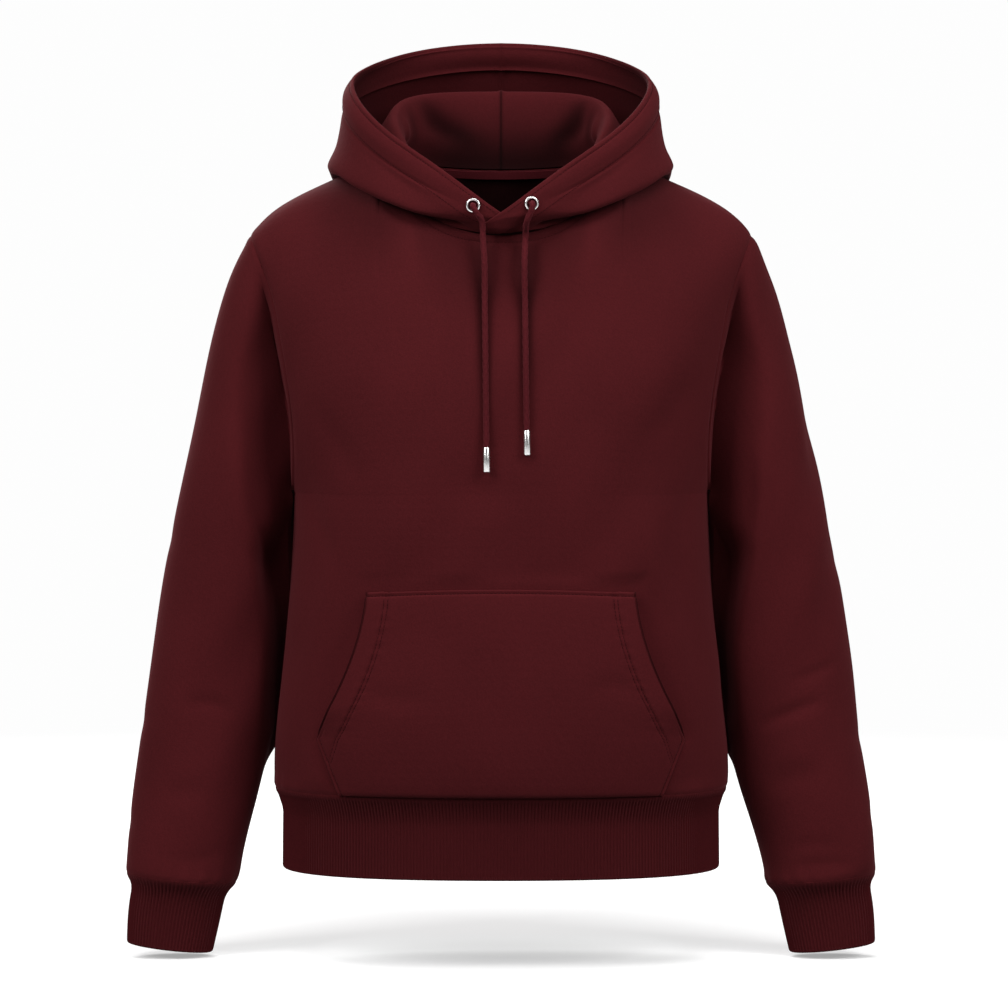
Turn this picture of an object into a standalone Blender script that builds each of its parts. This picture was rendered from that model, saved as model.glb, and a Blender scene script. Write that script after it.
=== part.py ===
"""Pullover hoodie, filled out as if worn, with a hood that lies back on the shoulders.

Cloth pieces are walls between an outer face and an inner face. Each outer face is a grid of points
worked out from the sizes below, so that two pieces that are sewn together share the points of their
seam. Millimetres in the tables and functions, metres in the meshes.

X runs to the wearer's left, Y to the back and Z up. The origin is in the middle of the neck opening,
at the height of the back neck seam.
"""

from functools import lru_cache

import bpy
import numpy as np
from mathutils import Vector

METRES = 0.001

# Cloth and seams.
FLEECE = 2.2  # wall of the body, sleeves, hood and pocket
RIB = 3.0  # wall of the doubled rib of the hem and cuffs
CASING = 4.4  # wall of the folded casing around the hood's opening
CASING_FLAT_OVER = 20.0  # degrees from the casing's end to its full wall
TAPE = 1.2
SEAM_GAP = 0.3
MAX_MITRE = 1.25  # how much longer than the wall a seam's slanted edge may be

# Heights of the body.
HEM_SEAM = -571.5
ARMPIT = -300.0
YOKE = -140.0
SHOULDER_POINT = -64.0
MIDDLE_Y = 5.0  # the side seams and the shoulder seams lie in this plane
BOXINESS = 0.18  # how much squarer than an ellipse a level of the torso is

TORSO_COLUMNS = ("height", "half_width", "front_depth", "back_depth")
TORSO = (
    (HEM_SEAM, 209.0, 124.0, 110.0),
    (-540.0, 209.0, 126.0, 108.0),
    (-480.0, 202.5, 127.0, 104.0),
    (-400.0, 195.0, 128.0, 104.0),
    (ARMPIT, 190.0, 132.0, 110.0),
    (-250.0, 190.0, 131.0, 114.0),
    (-200.0, 195.0, 127.0, 116.0),
    (YOKE, 205.0, 115.0, 114.0),
)

SHOULDER_COLUMNS = ("out", "height")
SHOULDER = ((108.0, 8.0), (150.0, -11.5), (193.0, -31.5), (218.0, -49.5), (231.0, SHOULDER_POINT))
SHOULDER_STEPS = (0.0, 0.27, 0.52, 0.77, 1.0)
SHOULDER_ROUNDING = 1.15  # length of the end slopes of a line that turns over the shoulder

ARMHOLE_MIDDLE = (ARMPIT + SHOULDER_POINT) / 2
ARMHOLE_HALF_HEIGHT = (SHOULDER_POINT - ARMPIT) / 2
ARMHOLE_FRONT = 50.0
ARMHOLE_BACK = 56.0
ARMHOLE_SQUARENESS = 2.0

# Neck seam: an oval in plan that dips to the front.
NECK_HALF_WIDTH = 108.0
NECK_FRONT = 93.0
NECK_BACK = 73.0
NECK_FRONT_HEIGHT = -67.0
NECK_SIDE_HEIGHT = 8.0
NECK_BACK_HEIGHT = 0.0
NECK_DIP = 1.3  # how late the neck seam climbs from its lowest point
NECK_SHARE = 0.42  # share of the panel's half width that ends at the neck seam
NECK_LEAN = (20.0, 78.0)  # degrees off upright of the panel at the seam: in the middle, at the side
NECK_STEP = 11.25  # degrees

BODY_LEVELS = 5
ARMHOLE_LEVELS = 4
YOKE_LEVELS = 5

# Sleeve: a tube of slanted rings from the armhole to the cuff, w running from 0 to 1 along it.
SLEEVE_OUTER_COLUMNS = ("height", "out")
SLEEVE_OUTER = (
    (-651.0, 346.0), (-583.0, 340.0), (-528.0, 333.5), (-473.0, 326.0), (-399.0, 315.0), (-326.0, 302.0),
    (-252.0, 287.0), (-178.0, 270.5), (-132.0, 258.0), (-88.0, 243.0), (SHOULDER_POINT, 231.0),
)
SLEEVE_INNER_COLUMNS = ("height", "out")
SLEEVE_INNER = (
    (-660.0, 243.5), (-638.0, 239.5), (-583.0, 224.0), (-528.0, 208.5), (-515.0, 204.0), (-473.0, 197.0),
    (-400.0, 192.0), (-320.0, 190.0), (ARMPIT, 190.0),
)
SLEEVE_GIRTH_COLUMNS = ("w", "middle_y", "half_depth")
SLEEVE_GIRTH = (
    (0.0, 5.0, 53.0), (0.12, 13.0, 60.0), (0.28, 20.0, 66.0), (0.45, 22.0, 63.0), (0.65, 18.0, 54.0),
    (0.85, 8.0, 45.0), (1.0, 0.0, 41.0),
)
SLEEVE_STEPS = (0.0, 0.05, 0.11, 0.18, 0.26, 0.35, 0.45, 0.55, 0.65, 0.75, 0.85, 0.93, 1.0)
SLEEVE_LAG = 1.7  # how much later the sleeve's inner side goes down than its outer side
SLEEVE_HEAD = 0.35  # share of the sleeve over which the armhole's shape turns into an oval
SLEEVE_CLEARANCE = 2.0  # to the torso's side
SLEEVE_SOFTNESS = 4.0  # how gently the sleeve flattens against the torso

CUFF_COLUMNS = ("down", "outer_out", "inner_out", "half_depth")
CUFF = ((6.0, 342.0, 248.0, 36.0), (22.0, 341.0, 253.5, 30.0), (64.0, 344.0, 264.0, 27.0))
CUFF_TILT = 9.0  # how much lower the cuff's inner side ends than its outer side

HEM_COLUMNS = ("down", "narrower")
HEM = ((6.0, 4.0), (20.0, 8.5), (74.0, 8.0))

# Hood: a wall drawn through rings that go round the neck. From the neck seam it stands up to the
# collar fold, turns down into the trough of the laid-back hood, and stands up again to the opening.
# A ring's heights are given at these angles, from the front overlap to the middle of the back.
HOOD_ANGLES = (-6.0, 8.0, 22.0, 45.0, 70.0, 90.0, 110.0, 140.0, 180.0)
HOOD_COLUMNS = ("ring", "half_width", "middle_y", "front", "back", "heights")
HOOD = (
    ("collar flank", 91, 8, 97, 74, (-65, -64.4, -56.5, -30, 5, 26, 29, 35, 38)),
    ("collar fold", 98, 10, 100.5, 82, (-64, -62.4, -53, -16, 24, 45, 59, 69, 72)),
    ("collar back", 109, 12, 103.5, 94, (-63, -61.2, -53, -25, 12, 33, 42, 46, 47)),
    ("trough flank", 124, 13, 105.5, 102, (-62, -60, -53.5, -32, -4, 10, 0, -34, -50)),
    ("trough", 146, 14, 108, 117, (-61, -58.5, -53, -35, -15, -8, -31, -68, -90)),
    ("heel", 156.5, 14.5, 110, 131, (-60, -57, -50.5, -33, -15, -9, -28, -58, -79)),
    ("belly", 161, 15, 112, 143, (-59, -55, -47.5, -28, -8, -1, -10, -30, -46)),
    ("wall", 152, 15, 113.5, 135, (-58.5, -50, -40, -12, 12, 20, 21, 20, 15)),
    ("casing seam", 146, 15, 113.5, 99, (-58, -45, -30, -1, 30, 50, 65, 85, 98)),
    ("casing crest", 145.5, 15, 113.5, 93, (-57.5, -38, -19, 13, 44, 65, 80, 99, 110)),
    ("opening edge", 137.5, 15, 112, 85, (-57, -33, -9, 24, 57, 78, 92, 110, 120.5)),
)
HOOD_STEPS = (2, 2, 2, 2, 2, 2, 2, 2, 2, 1, 1)  # grid rows between one ring and the next
CASING_STEPS = 2  # the last of them are the casing's
HOOD_TUCK = 0.5  # how much nearer to the neck seam each half's front end lies
HOOD_LAP = 5.6  # how far the upper front lies off the one under it
HOOD_LAP_FADE = (7.0, 26.0)  # degrees over which the upper front comes down to its place
HOOD_FRONT_LIFT = 0.8  # how far above the neck seam the overlapping fronts end
HOOD_CLEARANCE = 3.5  # to the shoulders it lies on
HOOD_SOFTNESS = 1.5  # how gently it comes down on them
HOOD_SHOULDER_FROM = 30.0  # degrees: it is in front of the neck before this

POCKET_TOP = -387.0
POCKET_CORNER = -521.0
POCKET_TOP_HALF = 117.5
POCKET_CORNER_HALF = 165.0
POCKET_BOTTOM_HALF = 145.0
POCKET_MOUTH_CURVE = 1.75
POCKET_ARCH = 4.0
POCKET_LIFT = 0.5  # gap to the front where the pocket is sewn down
POCKET_FULLNESS = 6.5  # more gap where a hand goes in
POCKET_ACROSS = 14
POCKET_DOWN = 8

TAPE_HEIGHT = 7.5
TAPE_DROP = 2.0  # from the neck seam to the tape's upper edge
TAPE_OFF = 0.6  # gap to the back

EYELET_OUTER = 6.6
EYELET_HOLE = 3.9
EYELET_HIGH = 1.7
EYELET_INSET = 11.4  # from the opening edge to the eyelet's middle
EYELET_SEGMENTS = 20
EYELET_X = {"right": -24.6, "left": 27.4}

CORD_DIAMETER = 5.5
CORD_STEP = 12.0  # between two points of a cord's path
CORD_BEND = ((0.0, 1.3), (0.3, 4.6), (2.4, 7.2), (5.8, 8.2), (10.0, 7.4))  # (down, out) at the eyelet
CORD_COLUMNS = ("x", "height", "off")  # off is the gap between the cord and the cloth
AGLET_RADIUS = 3.1
AGLET_LENGTH = 22.0
AGLET_EDGE = 0.6
AGLET_SEGMENTS = 16
CORDS = {
    "right": ((-17.8, -53.0, 3.2), (-16.2, -64.0, 3.6), (-14.8, -88.0, 8.0), (-14.4, -118.0, 2.4),
              (-13.9, -160.0, 1.0), (-13.4, -205.0, 0.9), (-12.8, -256.5, 0.9)),
    "left": ((23.4, -55.0, 3.2), (22.2, -65.0, 3.6), (21.2, -88.0, 8.0), (21.4, -118.0, 2.4),
             (21.9, -160.0, 1.0), (22.4, -205.0, 0.9), (23.0, -241.5, 0.9)),
}

MAROON = (0.075, 0.0085, 0.0125, 1.0)
MAROON_RIB = (0.052, 0.006, 0.0085, 1.0)
MAROON_CORD = (0.105, 0.016, 0.021, 1.0)
SILVER = (0.72, 0.72, 0.73, 1.0)


def spline(at, knots, values, flat_end=False):
    """The cubic spline through values at knots, read at each of `at`. Its ends are straight, and with
    flat_end its last slope is zero."""
    knots = np.asarray(knots, float)
    values = np.asarray(values, float)
    step = np.diff(knots)
    slope = np.diff(values, axis=0) / step.reshape(-1, *[1] * (values.ndim - 1))
    count = len(knots)
    matrix = np.eye(count)
    right = np.zeros_like(values)
    for i in range(1, count - 1):
        matrix[i, i - 1 : i + 2] = step[i - 1], 2 * (step[i - 1] + step[i]), step[i]
        right[i] = 6 * (slope[i] - slope[i - 1])
    if flat_end:
        matrix[-1, -2:] = step[-1], 2 * step[-1]
        right[-1] = -6 * slope[-1]
    bend = np.linalg.solve(matrix, right)
    at = np.asarray(at, float)
    k = np.clip(np.searchsorted(knots, at, side="right") - 1, 0, count - 2)
    shape = at.shape + (1,) * (values.ndim - 1)
    width = step[k].reshape(shape)
    a = (knots[k + 1] - at).reshape(shape) / width
    b = 1 - a
    curve = (a**3 - a) * bend[k] + (b**3 - b) * bend[k + 1]
    return a * values[k] + b * values[k + 1] + curve * width**2 / 6


def table(rows, at, column):
    """A column of a table, as a spline over the table's first column."""
    rows = sorted(rows)
    return spline(at, [row[0] for row in rows], [row[column] for row in rows])


def ease(x):
    """0 below 0, 1 above 1, and a smooth step between."""
    x = np.clip(x, 0.0, 1.0)
    return x * x * (3 - 2 * x)


def unit(vectors):
    length = np.linalg.norm(vectors, axis=-1, keepdims=True)
    return vectors / np.maximum(length, 1e-12)


def points(x, y, z):
    return np.stack(np.broadcast_arrays(x, y, z), axis=-1).astype(float)


# ---------------------------------------------------------------- torso


def armhole_y(height, side):
    """How far in front of (side -1) or behind (side +1) the seam plane the armhole's edge runs."""
    reach = ARMHOLE_FRONT if side < 0 else ARMHOLE_BACK
    across = np.clip(np.abs(height - ARMHOLE_MIDDLE) / ARMHOLE_HALF_HEIGHT, 0, 1)
    bow = (1 - across**ARMHOLE_SQUARENESS) ** (1 / ARMHOLE_SQUARENESS)
    return np.where(height <= ARMPIT, 0.0, side * reach * bow)


def boxy(angle):
    """Depth of a level of the torso over its largest depth, from the middle (0) to the side."""
    return np.cos(angle) * (1 + BOXINESS * np.sin(angle) ** 2)


def depth_of(height, side):
    return table(TORSO, height, 2 if side < 0 else 3)


def edge_angle(height, side):
    """The angle at which the armhole cuts the oval of this level."""
    angles = np.linspace(0, np.pi / 2, 400)
    share = np.abs(armhole_y(height, side)) / depth_of(height, side)
    return np.interp(-share, -boxy(angles), angles)


def torso_level(share, height, side):
    """A point of the torso below the yoke. share runs from -1 to 1 across the panel."""
    end = edge_angle(height, side)
    angle = share * end
    x = table(TORSO, height, 1) * np.sin(angle) / np.sin(end)
    return points(x, MIDDLE_Y + side * depth_of(height, side) * boxy(angle), height)


def torso_half_width(height, y):
    """Half the torso's width at this height and depth."""
    side_depth = np.where(y < MIDDLE_Y, depth_of(height, -1), depth_of(height, 1))
    share = np.clip(np.abs(y - MIDDLE_Y) / side_depth, 0, 1)
    angles = np.linspace(0, np.pi / 2, 400)
    return table(TORSO, height, 1) * np.sin(np.interp(-share, -boxy(angles), angles))


def front_y(x, height):
    """The front's outer face at a place below the yoke."""
    angle = np.arcsin(np.clip(np.abs(x) / table(TORSO, height, 1), 0, 1))
    return MIDDLE_Y - depth_of(height, -1) * boxy(angle)


def neck_seam(degrees):
    """The neck seam, with 0 at the front and 180 at the back."""
    angle = np.radians(degrees)
    cos = np.cos(angle)
    y = MIDDLE_Y - np.where(cos > 0, NECK_FRONT, NECK_BACK) * cos
    dip = NECK_SIDE_HEIGHT + (NECK_FRONT_HEIGHT - NECK_SIDE_HEIGHT) * np.abs(cos) ** NECK_DIP
    rise = NECK_SIDE_HEIGHT + (NECK_BACK_HEIGHT - NECK_SIDE_HEIGHT) * cos**2
    return points(NECK_HALF_WIDTH * np.sin(angle), y, np.where(cos > 0, dip, rise))


def panel_columns(side):
    """For each grid line that runs up a panel: its share of the panel's half width, the point where it
    ends on the shoulder or neck seam, and how far it leans there."""
    degrees = np.arange(0, 90 + NECK_STEP / 2, NECK_STEP)
    share = NECK_SHARE * (degrees / 90 + np.sin(np.radians(degrees))) / 2
    ends = neck_seam(degrees if side < 0 else 180 - degrees)
    lean = NECK_LEAN[0] + (NECK_LEAN[1] - NECK_LEAN[0]) * (degrees / 90) ** 1.3
    steps = np.array(SHOULDER_STEPS[1:])
    out = NECK_HALF_WIDTH + (SHOULDER[-1][0] - NECK_HALF_WIDTH) * steps
    shoulder = points(out, MIDDLE_Y, table(SHOULDER, out, 1))
    share = np.concatenate([share, NECK_SHARE + (1 - NECK_SHARE) * steps])
    ends = np.concatenate([ends, shoulder])
    lean = np.concatenate([lean, np.full(len(steps), 90.0)])
    mirror = np.array([-1.0, 1.0, 1.0])
    return (
        np.concatenate([-share[:0:-1], share]),
        np.concatenate([ends[:0:-1] * mirror, ends]),
        np.concatenate([lean[:0:-1], lean]),
    )


@lru_cache
def torso_panel(side):
    """Outer face of the front (side -1) or back (side +1): rows go up, columns across."""
    share, ends, lean = panel_columns(side)
    low = np.linspace(HEM_SEAM, ARMPIT, BODY_LEVELS + 1)
    quarter = np.linspace(0, np.pi / 2, ARMHOLE_LEVELS + 1)[1:]
    high = ARMPIT + (YOKE - ARMPIT) * (1 - np.cos(quarter))
    heights = np.concatenate([low, high])[:, None]
    lower = torso_level(share[None, :], heights, side)

    start = lower[-1]
    rise = start - torso_level(share, np.float64(YOKE - 2.0), side)
    reach = np.linalg.norm(ends - start, axis=1)[:, None] * SHOULDER_ROUNDING
    lean = np.radians(lean)
    out_slope = unit(points(0.0, -side * np.sin(lean), np.cos(lean))) * reach
    in_slope = unit(rise) * reach
    s = (np.arange(1, YOKE_LEVELS + 1) / YOKE_LEVELS)[:, None, None]
    upper = (
        (2 * s**3 - 3 * s**2 + 1) * start
        + (s**3 - 2 * s**2 + s) * in_slope
        + (3 * s**2 - 2 * s**3) * ends
        + (s**3 - s**2) * out_slope
    )
    return np.concatenate([lower, upper])


# ---------------------------------------------------------------- sleeves, cuffs and hem


def armhole_ring(front, back):
    """The wearer's left armhole, as a closed ring that starts at the armpit and climbs the front."""
    climb = front[BODY_LEVELS:, -1]
    return np.concatenate([climb, back[-2:BODY_LEVELS:-1, -1]])


def sleeve(ring, steps):
    """Outer face of the left sleeve: rows go down, columns round. Each ring leans from the armhole's
    plane towards level, and its shape turns from the armhole's into an oval."""
    inner_end, outer_end = ring[0], ring[len(ring) // 2]
    count = len(ring)
    turn = np.pi - 2 * np.pi * np.arange(count) / count
    across = unit((outer_end - inner_end) * np.array([1.0, 0.0, 1.0]))
    normal = np.array([across[2], 0.0, -across[0]])
    half = np.linalg.norm((outer_end - inner_end)[[0, 2]]) / 2
    middle = (inner_end + outer_end) / 2
    shape = ring - middle
    along = shape @ across / half
    depth = (ring[:, 1] - MIDDLE_Y) / SLEEVE_GIRTH[0][2]
    proud = shape @ normal

    rows = []
    for w in steps:
        outer_z = SHOULDER_POINT + (SLEEVE_OUTER[0][0] - SHOULDER_POINT) * w
        inner_z = ARMPIT + (SLEEVE_INNER[0][0] - ARMPIT) * w**SLEEVE_LAG
        low = np.array([table(SLEEVE_INNER, inner_z, 1), inner_z])
        high = np.array([table(SLEEVE_OUTER, outer_z, 1), outer_z])
        centre = (low + high) / 2
        radius = (high - low) / 2
        tilt = unit(np.array([radius[1], -radius[0]]))
        blend = ease(w / SLEEVE_HEAD)
        c = (1 - blend) * along + blend * np.cos(turn)
        d = (1 - blend) * depth - blend * np.sin(turn)
        n = (1 - blend) * proud
        y = table(SLEEVE_GIRTH, w, 1) + table(SLEEVE_GIRTH, w, 2) * d
        x = centre[0] + radius[0] * c + tilt[0] * n
        z = centre[1] + radius[1] * c + tilt[1] * n
        rows.append(clear_of_torso(points(x, y, z), w) if w > 0 else ring)
    return np.array(rows)


def clear_of_torso(ring, w):
    """Pushes the part of a sleeve's ring that would touch the torso out to just clear of its side."""
    x, y, z = ring[:, 0], ring[:, 1], ring[:, 2]
    wall = torso_half_width(np.minimum(z, YOKE), y) + SEAM_GAP + SLEEVE_CLEARANCE * ease(w / 0.2)
    pushed = wall + SLEEVE_SOFTNESS * np.logaddexp(0, (x - wall) / SLEEVE_SOFTNESS)
    return points(x + (pushed - x) * ease((ARMHOLE_MIDDLE - z) / 60), y, z)


def cuff(top):
    """Outer face of the left cuff, from the sleeve's last ring down."""
    count = len(top)
    turn = np.pi - 2 * np.pi * np.arange(count) / count
    rows = [top]
    for down, outer, inner, half_depth in CUFF:
        share = down / CUFF[-1][0]
        middle = (outer + inner) / 2
        x = middle + (outer - inner) / 2 * np.cos(turn)
        z = SLEEVE_OUTER[0][0] - down - CUFF_TILT * (0.5 - 0.5 * np.cos(turn))
        y = SLEEVE_GIRTH[-1][1] - half_depth * np.sin(turn) - 3.0 * share
        rows.append(points(x, y, z))
    return np.array(rows)


def hem(ring):
    """Outer face of the hem band, from the body's lower edge down: the same ring, drawn in."""
    rows = [ring]
    centre = np.array([0.0, MIDDLE_Y, 0.0])
    outward = unit((ring - centre) * np.array([0.4, 1.0, 0.0]))
    for down, narrower in HEM:
        row = ring - outward * narrower
        row[:, 2] = HEM_SEAM - down
        rows.append(row)
    return np.array(rows)


# ---------------------------------------------------------------- hood


def hood_angles():
    return np.concatenate([[HOOD_ANGLES[0]], np.arange(0, 180 + NECK_STEP / 2, NECK_STEP)])


def hood_rings(degrees):
    """The rings the hood is drawn through, one after the other, for the wearer's left half. At its
    front end the half is a straight band from the neck seam to the opening's edge."""
    angle = np.radians(degrees)
    cos = np.cos(angle)
    rings = [neck_seam(degrees)]
    for _, half_width, middle_y, front, back, heights in HOOD:
        y = middle_y - np.where(cos > 0, front, back) * cos
        z = spline(degrees, HOOD_ANGLES, heights, flat_end=True)
        rings.append(points(half_width * np.sin(angle), y, z))
    rings = np.array(rings)
    end = (1 - ease((degrees - HOOD_ANGLES[0]) / (HOOD_ANGLES[1] - HOOD_ANGLES[0])))[:, None]
    edge = rings[-1].copy()
    edge[:, 1] += (rings[0][:, 1] - edge[:, 1]) * HOOD_TUCK
    up = np.linspace(0, 1, len(rings))[:, None, None]
    return rings + (rings[0] + (edge - rings[0]) * up - rings) * end


def through(rings, steps):
    """Smooth curves through the rings, each cut into steps rows per gap. The slope at a ring weighs the
    two runs beside it by their lengths."""
    run = np.diff(rings, axis=0)
    length = np.maximum(np.linalg.norm(run, axis=-1, keepdims=True), 1e-6)
    pace = np.sqrt(length)
    speed = run / pace
    inner = (speed[:-1] * pace[1:] + speed[1:] * pace[:-1]) / (pace[:-1] + pace[1:])
    slopes = np.concatenate([speed[:1], inner, speed[-1:]])
    rows = [rings[:1]]
    for k, count in enumerate(steps):
        s = (np.arange(1, count + 1) / count)[:, None, None]
        h = pace[k]
        rows.append(
            (2 * s**3 - 3 * s**2 + 1) * rings[k]
            + (s**3 - 2 * s**2 + s) * slopes[k] * h
            + (3 * s**2 - 2 * s**3) * rings[k + 1]
            + (s**3 - s**2) * slopes[k + 1] * h
        )
    return np.concatenate(rows)


def shoulder_height(x, y, front, back):
    """Height of the body's outer face above the yoke at a place in plan."""
    grid = (front if y < MIDDLE_Y else back[::-1])[:, front.shape[1] // 2 :]
    across = [np.interp(y, column[:, 1], column[:, 0]) for column in grid.transpose(1, 0, 2)]
    heights = [np.interp(y, column[:, 1], column[:, 2]) for column in grid.transpose(1, 0, 2)]
    return np.interp(x, across, heights)


def hood(side, degrees, steps):
    """Outer face of a hood half: rows go up from the neck seam, columns from the front to the back.
    Past the collar fold, and where it isn't in front of the neck, it keeps clear of the shoulders."""
    surface = through(hood_rings(degrees), steps)
    front, back = (torso_panel(way)[BODY_LEVELS + ARMHOLE_LEVELS :] for way in (-1, 1))
    for row in surface[sum(steps[:3]) :]:
        for c in np.flatnonzero(degrees > HOOD_SHOULDER_FROM):
            x, y, z = row[c]
            least = shoulder_height(x, y, front, back) + HOOD_CLEARANCE
            lift = np.logaddexp(0.0, (least - z) / HOOD_SOFTNESS) * HOOD_SOFTNESS
            row[c, 2] += lift if lift > 0.05 else 0.0
    lifted = degrees < 0
    if side > 0:
        fade = 1 - ease((degrees - HOOD_LAP_FADE[0]) / (HOOD_LAP_FADE[1] - HOOD_LAP_FADE[0]))
        surface[..., 1] -= HOOD_LAP * fade
        lifted = fade > 0
    low_rows = np.clip(1 - np.arange(len(surface)) / 8, 0, 1)
    surface[..., 2] += HOOD_FRONT_LIFT * low_rows[:, None] * lifted[None, :]
    surface[..., 0] *= side
    return surface


def hood_walls(degrees):
    """Wall of the hood over its grid: single cloth, then the doubled casing, flattened at its end."""
    rows = sum(HOOD_STEPS) + 1
    folded = np.arange(rows) >= rows - 1 - CASING_STEPS
    full = ease((degrees - HOOD_ANGLES[0]) / CASING_FLAT_OVER)
    return FLEECE + (CASING - FLEECE) * folded[:, None] * full[None, :]


# ---------------------------------------------------------------- pocket and tape


def pocket_half_width(height):
    """Half the pocket's width: the curved mouth above the corner, a straight slant below it."""
    down = np.clip((POCKET_TOP - height) / (POCKET_TOP - POCKET_CORNER), 0, 1)
    mouth = POCKET_TOP_HALF + (POCKET_CORNER_HALF - POCKET_TOP_HALF) * down**POCKET_MOUTH_CURVE
    below = np.clip((POCKET_CORNER - height) / (POCKET_CORNER - HEM_SEAM), 0, 1)
    return mouth + (POCKET_BOTTOM_HALF - POCKET_CORNER_HALF) * below


def pocket():
    """Outer face of the pocket, made from the front's own points and moved out."""
    bottom = HEM_SEAM + 1.0
    low = np.linspace(bottom, POCKET_CORNER, 4)[:-1]
    high = np.linspace(POCKET_CORNER, POCKET_TOP, POCKET_DOWN - 2)
    heights = np.concatenate([low, high])[:, None]
    s = np.linspace(-1, 1, POCKET_ACROSS + 1)[None, :]
    x = s * pocket_half_width(heights)
    up = (heights - bottom) / (POCKET_TOP - bottom)
    z = heights + POCKET_ARCH * (1 - s**2) * up
    full = np.clip(4 * up * (1 - up), 0, 1) ** 0.6
    sewn = 1 - ease((heights - POCKET_CORNER) / 30)
    full = full * (1 - sewn * np.abs(s) ** 6)
    lift = POCKET_LIFT + FLEECE + POCKET_FULLNESS * full
    flat = points(x, front_y(x, z), z)
    return flat + outward_of(flat) * lift[..., None]


def outward_of(grid):
    """Normals of a grid of points, from the differences between neighbours, facing outward."""
    across = np.gradient(grid, axis=1)
    along = np.gradient(grid, axis=0)
    normal = unit(np.cross(across, along))
    middle = grid.mean(axis=(0, 1))
    away = middle - [0, MIDDLE_Y, middle[2]]
    return normal if (away * normal.mean(axis=(0, 1))).sum() >= 0 else -normal


def neck_tape(back):
    """The two faces of the band inside the back neck, made from the back's inner points."""
    middle = back.outer.shape[1] // 2
    neck = round(90 / NECK_STEP)
    columns = slice(middle - neck + 1, middle + neck)
    inward = -unit(back.own_normal[-1, columns])
    top = back.outer[-1, columns]
    down = unit(back.outer[-2, columns] - top)
    rows = [top + down * fall for fall in (TAPE_DROP, TAPE_DROP + TAPE_HEIGHT)]
    outer = np.array(rows) + inward * (FLEECE + TAPE_OFF)
    return outer, outer + inward * TAPE


# ---------------------------------------------------------------- walls and meshes


class Sheet:
    """A cloth piece: a grid of outer points, its wall, and whether its columns close into a tube."""

    def __init__(self, name, outer, wall, material, tube=False):
        self.name = name
        self.outer = outer
        self.wall = np.broadcast_to(wall, outer.shape[:2])
        self.material = material
        self.tube = tube
        if tube:
            across = np.roll(outer, -1, axis=1) - np.roll(outer, 1, axis=1)
            middle = outer.mean(axis=1, keepdims=True)
        else:
            across = np.gradient(outer, axis=1)
            middle = points(0.0, MIDDLE_Y, outer[..., 2])
        normal = unit(np.cross(across, np.gradient(outer, axis=0)))
        outward = 1.0 if ((outer - middle) * normal).sum() > 0 else -1.0
        self.normal = normal * outward
        self.own_normal = self.normal.copy()
        self.shift = np.zeros_like(outer)

    def borders(self):
        """For each edge of the grid: where it is, its points, its normals and the points beside it."""
        picks = [(0, slice(None)), (-1, slice(None))]
        beside = [(1, slice(None)), (-2, slice(None))]
        if not self.tube:
            picks += [(slice(None), 0), (slice(None), -1)]
            beside += [(slice(None), 1), (slice(None), -2)]
        for pick, near in zip(picks, beside):
            yield pick, self.outer[pick], self.normal[pick], self.outer[near]


def join_seams(sheets):
    """Where pieces meet, gives them one shared slant for the wall's edge, and draws each back along
    its own face by half the seam gap."""
    edges = [(sheet, *border) for sheet in sheets for border in sheet.borders()]
    places = np.concatenate([line for _, _, line, _, _ in edges])
    normals = np.concatenate([normal for _, _, _, normal, _ in edges])
    slants = [[slant_at(place, places, normals) for place in line] for _, _, line, _, _ in edges]
    for (sheet, pick, line, normal, near), slant in zip(edges, slants):
        if sheet.tube:
            along = np.roll(line, -1, axis=0) - np.roll(line, 1, axis=0)
        else:
            along = np.gradient(line, axis=0)
        inward = unit(np.cross(normal, along))
        inward *= np.sign((inward * (near - line)).sum())
        lean = (unit(np.array(slant)) * normal).sum(axis=1, keepdims=True)
        sheet.normal[pick] = slant
        sheet.shift[pick] += inward * SEAM_GAP / 2 / np.maximum(lean, 0.15)


def slant_at(place, places, normals):
    """The middle direction of the different normals that meet at a place. Its length makes the walls
    as thick there as elsewhere, up to the longest mitre."""
    met = []
    for normal in normals[np.linalg.norm(places - place, axis=1) < 0.01]:
        if all(normal @ other < 0.9 for other in met):
            met.append(normal)
    middle = unit(sum(met))
    return middle / max(min(float(middle @ normal) for normal in met), 1 / MAX_MITRE)


def faces_of(sheet):
    """(outer, inner) grids of the piece's two faces."""
    outer = sheet.outer + sheet.shift
    return outer, outer - sheet.normal * sheet.wall[..., None]


def wall_mesh(name, outer, inner, material, tube=False):
    """A closed object from two grids of points: both faces and the rims between them. Both faces are
    cut into triangles along the same diagonals, the shorter ones of the outer face."""
    rows, columns = outer.shape[:2]
    index = np.arange(rows * columns).reshape(rows, columns)
    if tube:
        index = np.concatenate([index, index[:, :1]], axis=1)
    vertices = np.concatenate([outer.reshape(-1, 3), inner.reshape(-1, 3)])
    skin = np.stack([index[:-1, :-1], index[:-1, 1:], index[1:, 1:], index[1:, :-1]], axis=-1)
    skin = triangles(skin.reshape(-1, 4), vertices)
    back = skin[:, ::-1] + rows * columns
    lines = [index[0], index[-1, ::-1]]
    if not tube:
        lines += [index[::-1, 0], index[:, -1]]
    rims = [triangles(rim(line, rows * columns), vertices) for line in lines]
    faces = np.concatenate([skin, back, *rims])
    return mesh_object(name, vertices, faces, material, 50)


def triangles(quads, vertices):
    """Two triangles for each quad, cut along its shorter diagonal."""
    a, b, c, d = (vertices[quads[:, i]] for i in range(4))
    longer = np.linalg.norm(a - c, axis=1) > np.linalg.norm(b - d, axis=1) + 1e-6
    first = np.where(longer[:, None], quads[:, [0, 1, 3]], quads[:, [0, 1, 2]])
    second = np.where(longer[:, None], quads[:, [1, 2, 3]], quads[:, [0, 2, 3]])
    return np.concatenate([first, second])


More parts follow.
